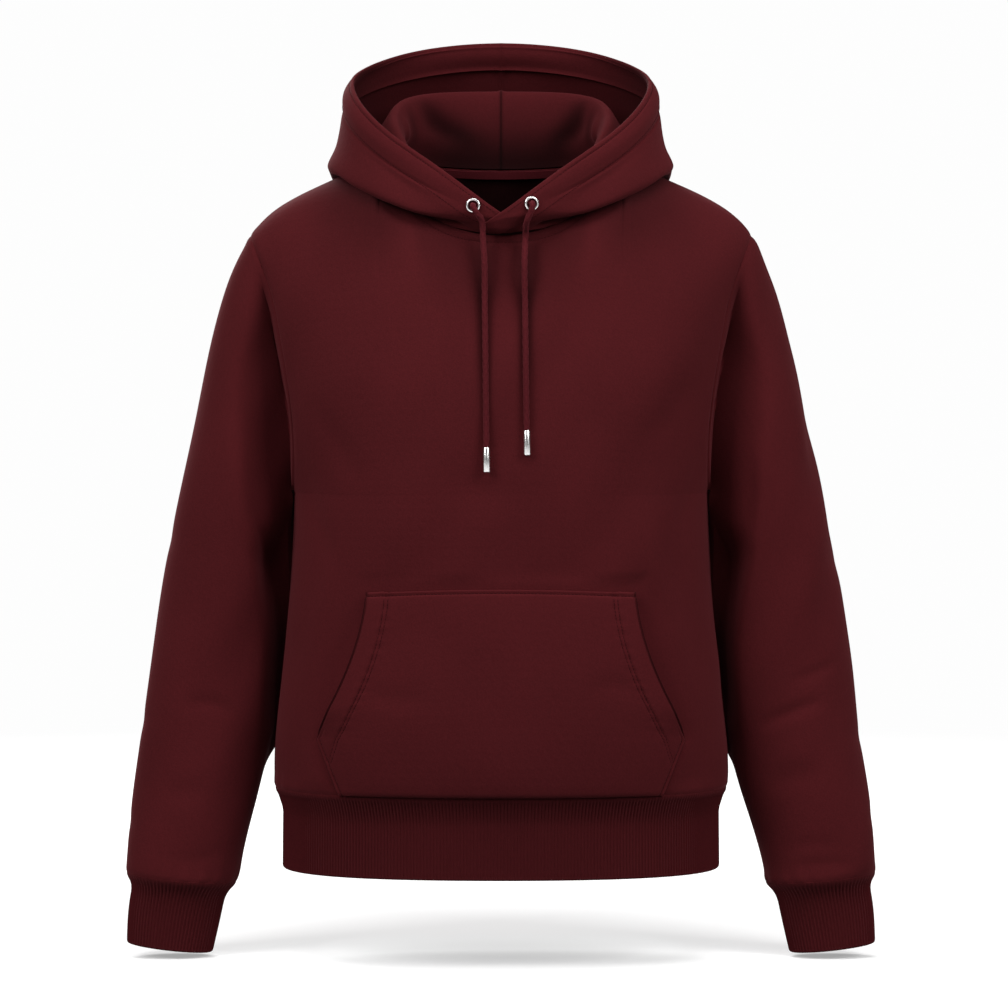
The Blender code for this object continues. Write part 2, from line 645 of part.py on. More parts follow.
def rim(line, offset):
    """Faces that close the wall along one edge of the grid."""
    return np.stack([line[1:], line[:-1], line[:-1] + offset, line[1:] + offset], axis=-1)


def mesh_object(name, vertices, faces, material, sharp):
    """A mesh object with its faces outward, smooth but for edges over `sharp` degrees."""
    a, b, c = (vertices[faces[:, i]] for i in range(3))
    if np.einsum("ij,ij->i", a, np.cross(b, c)).sum() < 0:
        faces = faces[:, ::-1]
    mesh = bpy.data.meshes.new(name)
    mesh.from_pydata((vertices * METRES).tolist(), [], faces.tolist())
    mesh.shade_smooth()
    mesh.set_sharp_from_angle(angle=np.radians(sharp))
    mesh.materials.append(material)
    obj = bpy.data.objects.new(name, mesh)
    bpy.context.scene.collection.objects.link(obj)
    return obj


def finish(name, colour, roughness, metallic=0.0):
    material = bpy.data.materials.new(name)
    material.use_nodes = True
    shader = material.node_tree.nodes["Principled BSDF"]
    shader.inputs["Base Color"].default_value = colour
    shader.inputs["Roughness"].default_value = roughness
    shader.inputs["Metallic"].default_value = metallic
    return material


# ---------------------------------------------------------------- eyelets and cords


def eyelet_place(side):
    """The point of the hood's outer face under an eyelet's middle, and the normal there."""
    sign = 1.0 if side == "left" else -1.0
    degrees = np.linspace(2.0, HOOD_SHOULDER_FROM, 113)
    surface = hood(sign, degrees, [20] * len(HOOD_STEPS))
    normal = unit(np.cross(np.gradient(surface, axis=1), np.gradient(surface, axis=0)))
    normal *= -np.sign(normal[..., 1:2].sum())
    inset = np.linalg.norm(surface - surface[-1:], axis=-1)
    miss = np.hypot(inset - EYELET_INSET, surface[..., 0] - EYELET_X[side])
    miss[: -3 * 20] += 1000.0
    r, c = np.unravel_index(np.argmin(miss), miss.shape)
    return surface[r, c], normal[r, c]


def turned(name, profile, segments, place, axis, material):
    """A solid turned about an axis through place, from a closed (radius, along) profile. A profile
    point on the axis becomes one vertex."""
    angle = 2 * np.pi * np.arange(segments) / segments
    vertices = []
    loops = []
    for radius, along in profile:
        count = segments if radius > 0 else 1
        loops.append(np.arange(count) + len(vertices) + np.zeros(segments, int) * (count == 1))
        vertices += [(radius * np.cos(a), radius * np.sin(a), along) for a in angle[:count]]
    faces = []
    for here, there in zip(loops, loops[1:] + loops[:1]):
        quads = np.stack([here, np.roll(here, -1), np.roll(there, -1), there], axis=-1)
        for a, b, c, d in quads:
            faces += [face for face in ((a, b, c), (a, c, d)) if len(set(face)) == 3]
    turn = np.array(Vector((0, 0, 1)).rotation_difference(Vector(axis)).to_matrix())
    return mesh_object(name, np.array(vertices) @ turn.T + place, np.array(faces), material, 40)


def make_eyelet(side, material):
    """A rolled metal ring that lies on the casing."""
    place, normal = eyelet_place(side)
    middle = (EYELET_OUTER + EYELET_HOLE) / 2
    profile = (
        (EYELET_HOLE, 0.0), (EYELET_OUTER, 0.0), (EYELET_OUTER, EYELET_HIGH * 0.45),
        (middle + 0.7, EYELET_HIGH), (middle - 0.7, EYELET_HIGH), (EYELET_HOLE, EYELET_HIGH * 0.5),
    )
    turned(f"eyelet_{side}", profile, EYELET_SEGMENTS, place + normal * 0.9, normal, material)
    return place, normal


def cord_route(side, place, normal):
    """The cord's own points: up out of the eyelet, over its rim and the hood's lower roll, and down the
    chest."""
    chest = []
    for x, height, off in CORDS[side]:
        chest.append(np.array([x, foremost(x, height) - CORD_DIAMETER / 2 - off, height]))
    onward = chest[0] - place
    onward = unit(onward - normal * (onward @ normal))
    bend = [place + onward * along + normal * out for along, out in CORD_BEND]
    return np.array(bend + chest)


def foremost(x, height):
    """The outer face of the front, or of a hood half where that is further forward."""
    if height > YOKE:
        middle = torso_panel(-1)
        middle = middle[:, middle.shape[1] // 2]
        face = np.interp(height, middle[:, 2], middle[:, 1])
    else:
        face = front_y(np.float64(x), np.float64(height))
    for side in (-1.0, 1.0):
        surface = hood(side, np.linspace(HOOD_ANGLES[0], 30.0, 73), HOOD_STEPS)
        near = np.hypot(surface[..., 0] - x, surface[..., 2] - height) < 4.0
        face = min(face, surface[near][:, 1].min(initial=0.0))
    return float(face)


def make_cord(side, route, material):
    """A tube along a smooth curve through the route."""
    knots = np.concatenate([[0.0], np.cumsum(np.linalg.norm(np.diff(route, axis=0), axis=1))])
    bend = knots[: len(CORD_BEND)]
    rest = round((knots[-1] - bend[-1]) / CORD_STEP)
    at = np.concatenate([bend[:-1], np.linspace(bend[-1], knots[-1], rest + 1)])
    count = len(at)
    path = spline(at, knots, route)
    curve = bpy.data.curves.new(f"drawcord_{side}", "CURVE")
    curve.dimensions = "3D"
    curve.bevel_depth = CORD_DIAMETER / 2 * METRES
    curve.bevel_resolution = 2
    curve.use_fill_caps = True
    line = curve.splines.new("POLY")
    line.points.add(count - 1)
    for point, place in zip(line.points, path):
        point.co = (*(place * METRES), 1.0)
    curve.materials.append(material)
    obj = bpy.data.objects.new(f"drawcord_{side}", curve)
    bpy.context.scene.collection.objects.link(obj)
    return path


def make_aglet(side, path, material):
    """A metal tip: a pin with rounded edges, in line with the cord's end."""
    axis = unit(path[-1] - path[-2])
    flat = AGLET_RADIUS - AGLET_EDGE
    profile = (
        (0.0, 0.0), (flat, 0.0), (AGLET_RADIUS, AGLET_EDGE), (AGLET_RADIUS, AGLET_LENGTH - AGLET_EDGE),
        (flat, AGLET_LENGTH), (0.0, AGLET_LENGTH),
    )
    start = path[-1] + axis * SEAM_GAP
    turned(f"aglet_{side}", profile, AGLET_SEGMENTS, start, axis, material)


# ---------------------------------------------------------------- the garment


def build():
    for obj in list(bpy.data.objects):
        bpy.data.objects.remove(obj)
    fleece = finish("maroon fleece", MAROON, 0.92)
    rib = finish("maroon rib", MAROON_RIB, 0.95)
    braid = finish("maroon cord", MAROON_CORD, 0.85)
    metal = finish("polished metal", SILVER, 0.22, 1.0)

    mirror = np.array([-1.0, 1.0, 1.0])
    front = torso_panel(-1)
    back = torso_panel(1)
    left_ring = armhole_ring(front, back)
    left_sleeve = sleeve(left_ring, SLEEVE_STEPS)
    left_cuff = cuff(left_sleeve[-1])
    hem_ring = np.concatenate([front[0], back[0, -2:0:-1]])
    degrees = hood_angles()

    sheets = [
        Sheet("front_body", front, FLEECE, fleece),
        Sheet("back_body", back, FLEECE, fleece),
        Sheet("sleeve_left", left_sleeve, FLEECE, fleece, tube=True),
        Sheet("sleeve_right", left_sleeve * mirror, FLEECE, fleece, tube=True),
        Sheet("cuff_left", left_cuff, RIB, rib, tube=True),
        Sheet("cuff_right", left_cuff * mirror, RIB, rib, tube=True),
        Sheet("hem_rib", hem(hem_ring), RIB, rib, tube=True),
        Sheet("hood_left", hood(1.0, degrees, HOOD_STEPS), hood_walls(degrees), fleece),
        Sheet("hood_right", hood(-1.0, degrees, HOOD_STEPS), hood_walls(degrees), fleece),
        Sheet("kangaroo_pocket", pocket(), FLEECE, fleece),
    ]
    join_seams(sheets)
    for sheet in sheets:
        outer, inner = faces_of(sheet)
        wall_mesh(sheet.name, outer, inner, sheet.material, sheet.tube)
        if sheet.name == "back_body":
            wall_mesh("neck_tape", *neck_tape(sheet), fleece)

    for side in ("left", "right"):
        place, normal = make_eyelet(side, metal)
        path = make_cord(side, cord_route(side, place, normal), braid)
        make_aglet(side, path, metal)


build()
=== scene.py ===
"""Looks of the pullover hoodie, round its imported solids: fleece panels with their seams, folds and
stitches, knitted ribs, the laid-back hood, the pouch pocket, the cords and their metal trims.

Millimetres in the tables and functions, metres in the meshes. X runs to the wearer's left, Y to the
back and Z up, from the middle of the neck opening at the height of the back neck seam. The tables come
first, then the forms, the cloth and its materials, and last the pieces.
"""

import re

import bpy
import numpy as np
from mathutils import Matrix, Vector


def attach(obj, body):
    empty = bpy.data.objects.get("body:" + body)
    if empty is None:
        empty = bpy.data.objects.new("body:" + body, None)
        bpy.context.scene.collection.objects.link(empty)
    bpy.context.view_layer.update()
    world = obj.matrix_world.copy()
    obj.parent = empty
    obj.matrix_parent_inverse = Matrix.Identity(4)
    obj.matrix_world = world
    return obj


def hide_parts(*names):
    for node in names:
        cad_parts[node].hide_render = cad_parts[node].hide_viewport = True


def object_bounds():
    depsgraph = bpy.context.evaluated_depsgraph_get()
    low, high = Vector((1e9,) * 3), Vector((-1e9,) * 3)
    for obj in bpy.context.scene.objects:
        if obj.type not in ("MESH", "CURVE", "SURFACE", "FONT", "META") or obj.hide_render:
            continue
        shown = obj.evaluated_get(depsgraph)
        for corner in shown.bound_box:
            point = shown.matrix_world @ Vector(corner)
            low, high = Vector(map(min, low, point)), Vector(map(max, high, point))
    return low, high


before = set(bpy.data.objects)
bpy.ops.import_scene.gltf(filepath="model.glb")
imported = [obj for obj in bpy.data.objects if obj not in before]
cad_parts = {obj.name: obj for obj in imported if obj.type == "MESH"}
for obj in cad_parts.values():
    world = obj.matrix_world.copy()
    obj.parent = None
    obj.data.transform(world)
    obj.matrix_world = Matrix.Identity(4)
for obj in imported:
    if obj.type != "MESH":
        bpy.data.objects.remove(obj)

CAD_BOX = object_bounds()
METRES = 0.001

# Cloth and seams.
FLEECE = 2.2  # wall of the body, sleeves, hood and pocket
RIB = 3.0  # wall of the doubled rib of the hem and cuffs
CASING = 4.4  # wall of the folded casing around the hood's opening
CASING_FLAT_OVER = 20.0  # degrees from the casing's end to its full wall
TAPE = 1.2
SEAM_GAP = 0.3

# Heights of the body.
HEM_SEAM = -571.5
ARMPIT = -300.0
YOKE = -140.0
SHOULDER_POINT = -64.0
MIDDLE_Y = 5.0  # the side seams and the shoulder seams lie in this plane
BOXINESS = 0.18  # how much squarer than an ellipse a level of the torso is

TORSO = (  # height, half width, depth in front and behind
    (HEM_SEAM, 209.0, 124.0, 110.0),
    (-540.0, 209.0, 126.0, 108.0),
    (-480.0, 202.5, 127.0, 104.0),
    (-400.0, 195.0, 128.0, 104.0),
    (ARMPIT, 190.0, 132.0, 110.0),
    (-250.0, 190.0, 131.0, 114.0),
    (-200.0, 195.0, 127.0, 116.0),
    (YOKE, 205.0, 115.0, 114.0),
)

# The shoulder seam: (out, height).
SHOULDER = ((108.0, 8.0), (150.0, -11.5), (193.0, -31.5), (218.0, -49.5), (231.0, SHOULDER_POINT))
SHOULDER_STEPS = (0.0, 0.27, 0.52, 0.77, 1.0)
SHOULDER_ROUNDING = 1.15  # length of the end slopes of a line that turns over the shoulder

ARMHOLE_MIDDLE = (ARMPIT + SHOULDER_POINT) / 2
ARMHOLE_HALF_HEIGHT = (SHOULDER_POINT - ARMPIT) / 2
ARMHOLE_FRONT = 50.0
ARMHOLE_BACK = 56.0
ARMHOLE_SQUARENESS = 2.0

# Neck seam: an oval in plan that dips to the front.
NECK_HALF_WIDTH = 108.0
NECK_FRONT = 93.0
NECK_BACK = 73.0
NECK_FRONT_HEIGHT = -67.0
NECK_SIDE_HEIGHT = 8.0
NECK_BACK_HEIGHT = 0.0
NECK_DIP = 1.3  # how late the neck seam climbs from its lowest point
NECK_SHARE = 0.42  # share of the panel's half width that ends at the neck seam
NECK_LEAN = (20.0, 78.0)  # degrees off upright of the panel at the seam: in the middle, at the side
NECK_STEP = 11.25  # degrees

BODY_LEVELS = 5
ARMHOLE_LEVELS = 4
YOKE_LEVELS = 5

# Sleeve: a tube of slanted rings from the armhole to the cuff, w running from 0 to 1 along it.
SLEEVE_OUTER = (  # height, out
    (-651.0, 346.0), (-583.0, 340.0), (-528.0, 333.5), (-473.0, 326.0), (-399.0, 315.0), (-326.0, 302.0),
    (-252.0, 287.0), (-178.0, 270.5), (-132.0, 258.0), (-88.0, 243.0), (SHOULDER_POINT, 231.0),
)
SLEEVE_INNER = (  # height, out
    (-660.0, 243.5), (-638.0, 239.5), (-583.0, 224.0), (-528.0, 208.5), (-515.0, 204.0), (-473.0, 197.0),
    (-400.0, 192.0), (-320.0, 190.0), (ARMPIT, 190.0),
)
SLEEVE_GIRTH = (  # w, middle y, half depth
    (0.0, 5.0, 53.0), (0.12, 13.0, 60.0), (0.28, 20.0, 66.0), (0.45, 22.0, 63.0), (0.65, 18.0, 54.0),
    (0.85, 8.0, 45.0), (1.0, 0.0, 41.0),
)
SLEEVE_LAG = 1.7  # how much later the sleeve's inner side goes down than its outer side
SLEEVE_HEAD = 0.35  # share of the sleeve over which the armhole's shape turns into an oval
SLEEVE_CLEARANCE = 0.4  # to the torso's side, which the cloth touches
SLEEVE_SOFTNESS = 4.0  # how gently the sleeve flattens against the torso

# The cuff: (down, its outer side's out, its inner side's out, half depth).
CUFF = ((6.0, 342.0, 250.0, 36.0), (22.0, 341.5, 257.0, 30.0), (64.0, 344.5, 266.5, 27.0))
CUFF_TILT = 9.0  # how much lower the cuff's inner side ends than its outer side

HEM = ((6.0, 4.0), (20.0, 8.5), (74.0, 8.0))  # (down, narrower)

# Hood: a wall drawn through rings that go round the neck. From the neck seam it stands up to the
# collar fold, turns down into the trough of the laid-back hood, and stands up again to the opening.
# A ring's heights are given at these angles, from the front overlap to the middle of the back.
HOOD_ANGLES = (-6.0, 8.0, 22.0, 45.0, 70.0, 90.0, 110.0, 140.0, 180.0)
HOOD = (  # half width, middle y, front, back, heights
    (91, 8, 97, 74, (-65, -64.4, -56.5, -30, 5, 26, 29, 35, 38)),  # collar flank
    (98, 10, 100.5, 82, (-64, -62.4, -53, -16, 24, 45, 59, 69, 72)),  # collar fold
    (109, 12, 103.5, 94, (-63, -61.2, -53, -25, 12, 33, 42, 46, 47)),  # collar back
    (124, 13, 105.5, 102, (-62, -60, -53.5, -32, -4, 10, 0, -34, -50)),  # trough flank
    (146, 14, 108, 117, (-61, -58.5, -53, -35, -15, -8, -31, -68, -90)),  # trough
    (156.5, 14.5, 110, 131, (-60, -57, -50.5, -33, -15, -9, -28, -58, -79)),  # heel
    (161, 15, 112, 143, (-59, -55, -47.5, -28, -8, -1, -10, -30, -46)),  # belly
    (152, 15, 113.5, 135, (-58.5, -50, -40, -12, 12, 20, 21, 20, 15)),  # wall
    (146, 15, 113.5, 99, (-58, -45, -30, -1, 30, 50, 65, 85, 98)),  # casing seam
    (145.5, 15, 113.5, 93, (-57.5, -38, -19, 13, 44, 65, 80, 99, 110)),  # casing crest
    (137.5, 15, 112, 93, (-57, -33, -9, 24, 57, 78, 92, 110, 120.5)),  # opening edge
)
HOOD_STEPS = (2, 2, 2, 2, 2, 2, 2, 2, 2, 1, 1)  # grid rows between one ring and the next
HOOD_TUCK = 0.5  # how much nearer to the neck seam each half's front end lies
HOOD_LAP = 5.6  # how far the upper front lies off the one under it
HOOD_LAP_FADE = (7.0, 26.0)  # degrees over which the upper front comes down to its place
HOOD_FRONT_LIFT = 0.8  # how far above the neck seam the overlapping fronts end
HOOD_CLEARANCE = 3.5  # to the shoulders it lies on
HOOD_SOFTNESS = 1.5  # how gently it comes down on them
HOOD_SHOULDER_FROM = 30.0  # degrees: it is in front of the neck before this

POCKET_TOP = -387.0
POCKET_CORNER = -521.0
POCKET_TOP_HALF = 117.5
POCKET_CORNER_HALF = 165.0
POCKET_BOTTOM_HALF = 145.0
POCKET_MOUTH_CURVE = 1.75
POCKET_ARCH = 4.0
POCKET_LIFT = 0.5  # gap to the front where the pocket is sewn down
POCKET_FULLNESS = 6.5  # more gap where a hand goes in

TAPE_HEIGHT = 7.5
TAPE_DROP = 2.0  # from the neck seam to the tape's upper edge
TAPE_OFF = 0.6  # gap to the back

EYELET_OUTER = 6.6
EYELET_HOLE = 3.9
EYELET_HIGH = 1.7
EYELET_INSET = 11.4  # from the opening edge to the eyelet's middle
EYELET_X = {"right": -24.6, "left": 27.4}
EYELET_LIFT = 0.9  # off the hood's outer face
EYELET_RIM = 0.25  # height of the ring's outer edge
EYELET_SEGMENTS = 56

CORD_DIAMETER = 5.5
CORD_BEND = ((0.0, 1.3), (0.3, 4.6), (2.4, 7.2), (5.8, 8.2), (10.0, 7.4))  # (down, out) at the eyelet
CORD_STEP = 1.1  # between two rings of a cord's grid
CORD_SEGMENTS = 32
AGLET_RADIUS = 3.1
AGLET_LENGTH = 22.0
AGLET_SEGMENTS = 36
CORDS = {  # x, height, gap between the cord and the cloth
    "right": ((-17.8, -53.0, 3.2), (-16.2, -64.0, 3.6), (-14.8, -88.0, 8.0), (-14.4, -118.0, 2.4),
              (-13.9, -160.0, 1.0), (-13.4, -205.0, 0.9), (-12.8, -256.5, 0.9)),
    "left": ((23.4, -55.0, 3.2), (22.2, -65.0, 3.6), (21.2, -88.0, 8.0), (21.4, -118.0, 2.4),
             (21.9, -160.0, 1.0), (22.4, -205.0, 0.9), (23.0, -241.5, 0.9)),
}


# ---------------------------------------------------------------- the sleeve beside the body

# Where the sleeve's front sinks back beside the body: (height, how deep, how far out from the edge of
# the body's front the slope begins, and how steeply it rises).
HOLLOW = (
    (-640.0, 0.0, 0.0, 3.5), (-600.0, 0.0, 0.0, 3.5), (-570.0, 10.0, 0.0, 3.5),
    (-530.0, 34.0, 1.0, 3.6), (-490.0, 50.0, 4.0, 3.8), (-434.0, 54.0, 8.0, 3.8),
    (-400.0, 54.0, 12.5, 3.6), (-374.0, 54.0, 16.5, 3.2),
    (-352.0, 52.0, 15.5, 2.4), (-330.0, 47.0, 5.0, 1.45), (-306.0, 44.0, 1.0, 1.1),
    (-280.0, 41.0, 0.0, 0.95), (-250.0, 37.0, 0.0, 0.78), (-215.0, 34.0, 0.0, 0.68),
    (-178.0, 32.0, 0.0, 0.68), (-150.0, 28.0, 0.0, 0.75), (-124.0, 22.0, 0.0, 0.72),
    (-104.0, 15.0, 0.0, 0.62), (-88.0, 9.0, 0.0, 0.5), (-74.0, 4.0, 0.0, 0.4), (-60.0, 0.0, 0.0, 0.4),
)
HOLLOW_ROUND = 4.0  # how softly the slope meets the sleeve's front
HOLLOW_FROM_SEAM = 7.0  # over which length from the armhole the hollow deepens
BESIDE_BODY = 14.0  # how much nearer the sleeve's inner side lies behind the side seam
BESIDE_BODY_TO = -567.0  # the height where that ends
BESIDE_POCKET = 1.5  # how far the front sinks along the pocket's sides
ARMPIT_CLOSED = (0.8, 16.0)  # how much shallower its seams are, and over which height
HOOD_PLAIN = (0.75, 22.0)  # how much plainer the low rings run where the fronts lap, over these degrees


# ---------------------------------------------------------------- grid of the cloth

# Grid lines near an edge lie at these distances from it, so that a seam or a fold can be round.
NEAR_EDGE = (0.0, 0.8, 1.8, 3.2, 5.0, 7.4)
FREE_EDGE = (0.0, 0.25, 0.7, 1.3, 2.2, 3.1, 3.8, 4.5, 5.2, 6.2)  # the same, at a folded edge
# Elsewhere they are this far apart.
BODY_PITCH = 3.1
CUFF_PITCH = 3.4
HEM_PITCH = 5.0
POCKET_PITCH = 2.4
POCKET_INSETS = (*FREE_EDGE, *np.arange(7.1, 28.8, 0.9), 31.0)  # from the pocket's side, at a mouth
# The same as shares of a length, and that length.
SHOULDER_STEP, SHOULDER_RUN = 0.027, 134
YOKE_STEP, YOKE_RUN = 1 / 36, 120
SLEEVE_STEP, SLEEVE_RUN = 0.0066, (420, 590)  # at its start and its end
# The hood's are in degrees round the neck, and by rows between one ring and the next.
HOOD_STEP, HOOD_RUN = 1.3, (2.0, 2.6)  # millimetres to a degree at the fronts and at the back
HOOD_ROWS = (10, 10, 10, 26, 12, 6, 10, 18, 26, 8, 8)
CASING_AT = 9.0  # the ring where the casing begins
CASING_RISE = 0.012  # the rings over which the wall grows to the casing's
OPENING_RUN = 13  # millimetres to a ring at the opening
EDGES = {"first_row": (0, 0), "last_row": (0, -1), "first_column": (1, 0), "last_column": (1, -1)}
SIDES = {"left": np.array([1.0, 1.0, 1.0]), "right": np.array([-1.0, 1.0, 1.0])}


# ---------------------------------------------------------------- seams, ribs, stitches and braid

SEAM_DEPTH = 1.5
SEAM_WIDTH = 6.5
HEM_GATHERS = (0.5, 24.0, 9.0)  # height, pitch, and the length over which they run out
CUFF_GATHERS = (0.7, 17.0, 9.0)
RIB_PITCH = 3.1
RIB_HEIGHT = 1.1
STITCH_PITCH = 3.3
STITCH_LENGTH = 2.5
STITCH_RADIUS = 0.3
BRAID_STRANDS = 4
BRAID_PITCH = 9.0
BRAID_DEPTH = 0.45
# How far from the cloth's edge the topstitching lies.
POCKET_STITCH = 3.8
MOUTH_STITCH = (16.0, 19.5)
MOUTH_WIDENS = 6.5  # how much further at the pocket's corner
MOUTH_LEAN = 0.95  # below which they come nearer to the side by this share of the height
MOUTH_GAP = 2.6  # how far the pocket's underside shows beyond its edge at the mouth
SEWN_GAP = 1.0  # the same, where the side is sewn down
OVERLAP_PLAIN = (15.0, 17.0)  # degrees at which the rim's lines begin, and over which they deepen
NECK_STITCH = (6.5, 5.0, 70)  # in the middle, how much more at the sides, and how far out that is
NECK_GROOVE = (70, 18, 1.7)  # how far out its groove runs, how it fades there, and its depth
RIM_STITCH = 4.5
CASING_STITCH = 25.0  # both from the hood's opening
HOOD_SEAM_STITCH = 4.0
RIM_STITCHED_FROM = 24.0  # along the rim from its front end


# ---------------------------------------------------------------- creases

CREASE_PARTS = 24
CREASE_END = 0.4  # share of a crease's length over which it runs out
# Creases: (height, width, places). A height below zero is a trough's depth.
FRONT_CREASES = (
    (3.2, 13, ((128, -290), (137, -357), (153, -428), (170, -500), (176, -545))),
    (2.2, 12, ((-140, -320), (-157, -393), (-168, -455), (-178, -525))),
    (-2.0, 9, ((-188, -250), (-168, -318), (-146, -380))),
    (-1.6, 8, ((188, -240), (172, -300), (156, -350))),
    (-1.5, 11, ((-180, -200), (-150, -250), (-120, -300))),
    (-1.3, 12, ((180, -180), (150, -230), (118, -262))),
    (1.5, 26, ((-122, -140), (-108, -220), (-112, -310))),
    (1.2, 24, ((118, -130), (104, -200), (112, -280))),
    (-1.0, 14, ((-66, -95), (-50, -160), (-46, -230))),
    (-0.9, 13, ((72, -95), (60, -150), (52, -215))),
    (-1.2, 15, ((-60, -270), (-10, -300), (46, -284))),
)
BACK_CREASES = (
    (-3.4, 12, ((-184, -220), (-140, -290), (-92, -340))),
    (-2.8, 11, ((186, -205), (148, -280), (106, -322))),
    (-2.5, 15, ((-62, -110), (-40, -200), (-48, -290))),
    (-2.1, 14, ((74, -110), (58, -205), (68, -300))),
    (-2.8, 9, ((-170, -462), (-92, -484), (-12, -474))),
    (-2.4, 8, ((22, -500), (90, -514), (168, -496))),
    (-2.0, 8, ((-60, -530), (0, -538), (64, -528))),
    (3.1, 17, ((-124, -380), (-110, -450), (-126, -540))),
    (2.7, 16, ((108, -370), (124, -450), (114, -540))),
    (2.2, 22, ((-6, -330), (8, -400), (0, -450))),
)
POCKET_CREASES = (
    (-1.6, 26, ((4, -410), (-4, -470), (6, -560))),
    (1.4, 24, ((-64, -410), (-74, -470), (-96, -550))),
    (1.3, 24, ((58, -410), (62, -470), (82, -550))),
    (-1.0, 10, ((-130, -470), (-96, -482), (-60, -476))),
    (-0.9, 9, ((134, -486), (104, -470), (70, -478))),
)
SLEEVE_CREASES = {  # on the sleeve's front, its back and its outer side
    "left": (
        (
            (-2.3, 6, ((230, -517), (263, -501), (304, -486))),
            (-1.2, 5, ((258, -474), (288, -464), (316, -452))),
            (-1.6, 12, ((240, -576), (272, -557), (300, -562))),
            (-0.8, 6, ((252, -628), (285, -620), (318, -625))),
            (-1.1, 4.5, ((258, -642), (300, -638), (334, -643))),
            (2.0, 9, ((258, -170), (268, -225), (280, -285))),
            (-1.4, 7, ((278, -215), (290, -270), (302, -330))),
            (-2.2, 6, ((229, -255), (227, -300), (219, -362))),
            (1.6, 15, ((272, -350), (284, -410), (290, -470))),
        ),
        (
            (-3.0, 9, ((206, -330), (250, -352), (306, -342))),
            (-2.4, 8, ((210, -366), (252, -380), (300, -388))),
            (-2.0, 8, ((220, -424), (262, -438), (318, -428))),
            (-1.7, 7, ((236, -562), (275, -548), (326, -562))),
            (-1.5, 6, ((244, -612), (285, -602), (330, -614))),
            (2.0, 16, ((262, -180), (278, -250), (288, -310))),
        ),
        (
            (-0.8, 11, ((-26, -340), (15, -366), (56, -360))),
            (-0.8, 10, ((-30, -512), (5, -526), (44, -518))),
            (-0.7, 9, ((-30, -606), (0, -598), (34, -610))),
        ),
    ),
    "right": (
        (
            (2.0, 11, ((236, -205), (241, -290), (234, -370))),
            (-2.4, 5, ((226, -300), (216, -352), (206, -404))),
            (-1.3, 14, ((260, -250), (274, -340), (284, -420))),
            (1.8, 17, ((288, -400), (298, -480), (290, -550))),
            (-1.5, 7, ((240, -508), (264, -492), (296, -498))),
            (-0.7, 6, ((240, -618), (272, -634), (322, -628))),
            (-1.2, 11, ((262, -560), (288, -574), (316, -568))),
        ),
        (
            (-2.8, 9, ((208, -344), (254, -330), (304, -352))),
            (-2.3, 8, ((214, -380), (258, -372), (306, -392))),
            (-2.0, 8, ((228, -450), (268, -436), (318, -450))),
            (-1.8, 7, ((240, -548), (280, -560), (328, -550))),
            (-1.5, 6, ((246, -600), (290, -612), (332, -602))),
            (1.9, 15, ((258, -170), (272, -240), (286, -300))),
        ),
        (
            (-0.8, 11, ((-24, -360), (12, -344), (54, -366))),
            (-0.8, 10, ((-28, -498), (8, -512), (44, -500))),
            (-0.7, 9, ((-28, -616), (4, -604), (30, -616))),
        ),
    ),
}
# On a hood half: places are (degrees, rings). The lowest two rings are seen from the neck, so that a
# dent there has a height above zero.
HOOD_CREASES = {
    "left": (
        (5.0, 10, ((118, 1.6), (124, 1.3), (134, 0.9), (146, 0.5))),
        (-3.0, 11, ((98, 1.7), (100, 1.2), (106, 0.5))),
        (-2.2, 10, ((40, 3.4), (62, 5.2), (70, 7.2))),
        (-2.5, 12, ((120, 6.4), (132, 7.4), (140, 8.6))),
        (-2.0, 10, ((84, 6.0), (92, 7.2), (94, 8.8))),
    ),
    "right": (
        (5.0, 10, ((122, 1.6), (132, 1.3), (146, 0.95), (160, 0.6))),
        (-3.0, 11, ((97, 1.7), (99, 1.2), (105, 0.5))),
        (-2.0, 11, ((44, 3.6), (60, 5.4), (74, 7.4))),
        (-2.4, 12, ((112, 6.2), (124, 7.4), (136, 8.6))),
        (-2.2, 10, ((150, 6.0), (156, 7.2), (152, 8.6))),
    ),
}
HOOD_METRIC = (1.6, 36.0)  # millimetres to a degree and to a ring
SWELL = ((0.9, 190.0, 260.0, 0.4), (0.7, -130.0, 170.0, 2.1), (0.45, 74.0, -118.0, 4.0))


# ---------------------------------------------------------------- painted shade in the cloth's colour

# Where the collar's folds take the light away: (share, width, places).
COLLAR_SHADOWS = {
    "left": (
        (0.66, 10.5, ((112, 1.85), (124, 1.6), (133, 1.2), (141, 0.9), (150, 0.5), (160, 0.2))),
        (0.35, 7.0, ((108, 1.9), (112, 1.4), (116, 0.9), (122, 0.4))),
    ),
    "right": (
        (0.62, 10.5, ((117, 1.85), (129, 1.6), (141, 1.2), (151, 0.97), (161, 0.75), (178, 0.4))),
        (0.35, 7.0, ((109, 1.9), (113, 1.4), (117, 0.9), (123, 0.4))),
    ),
}
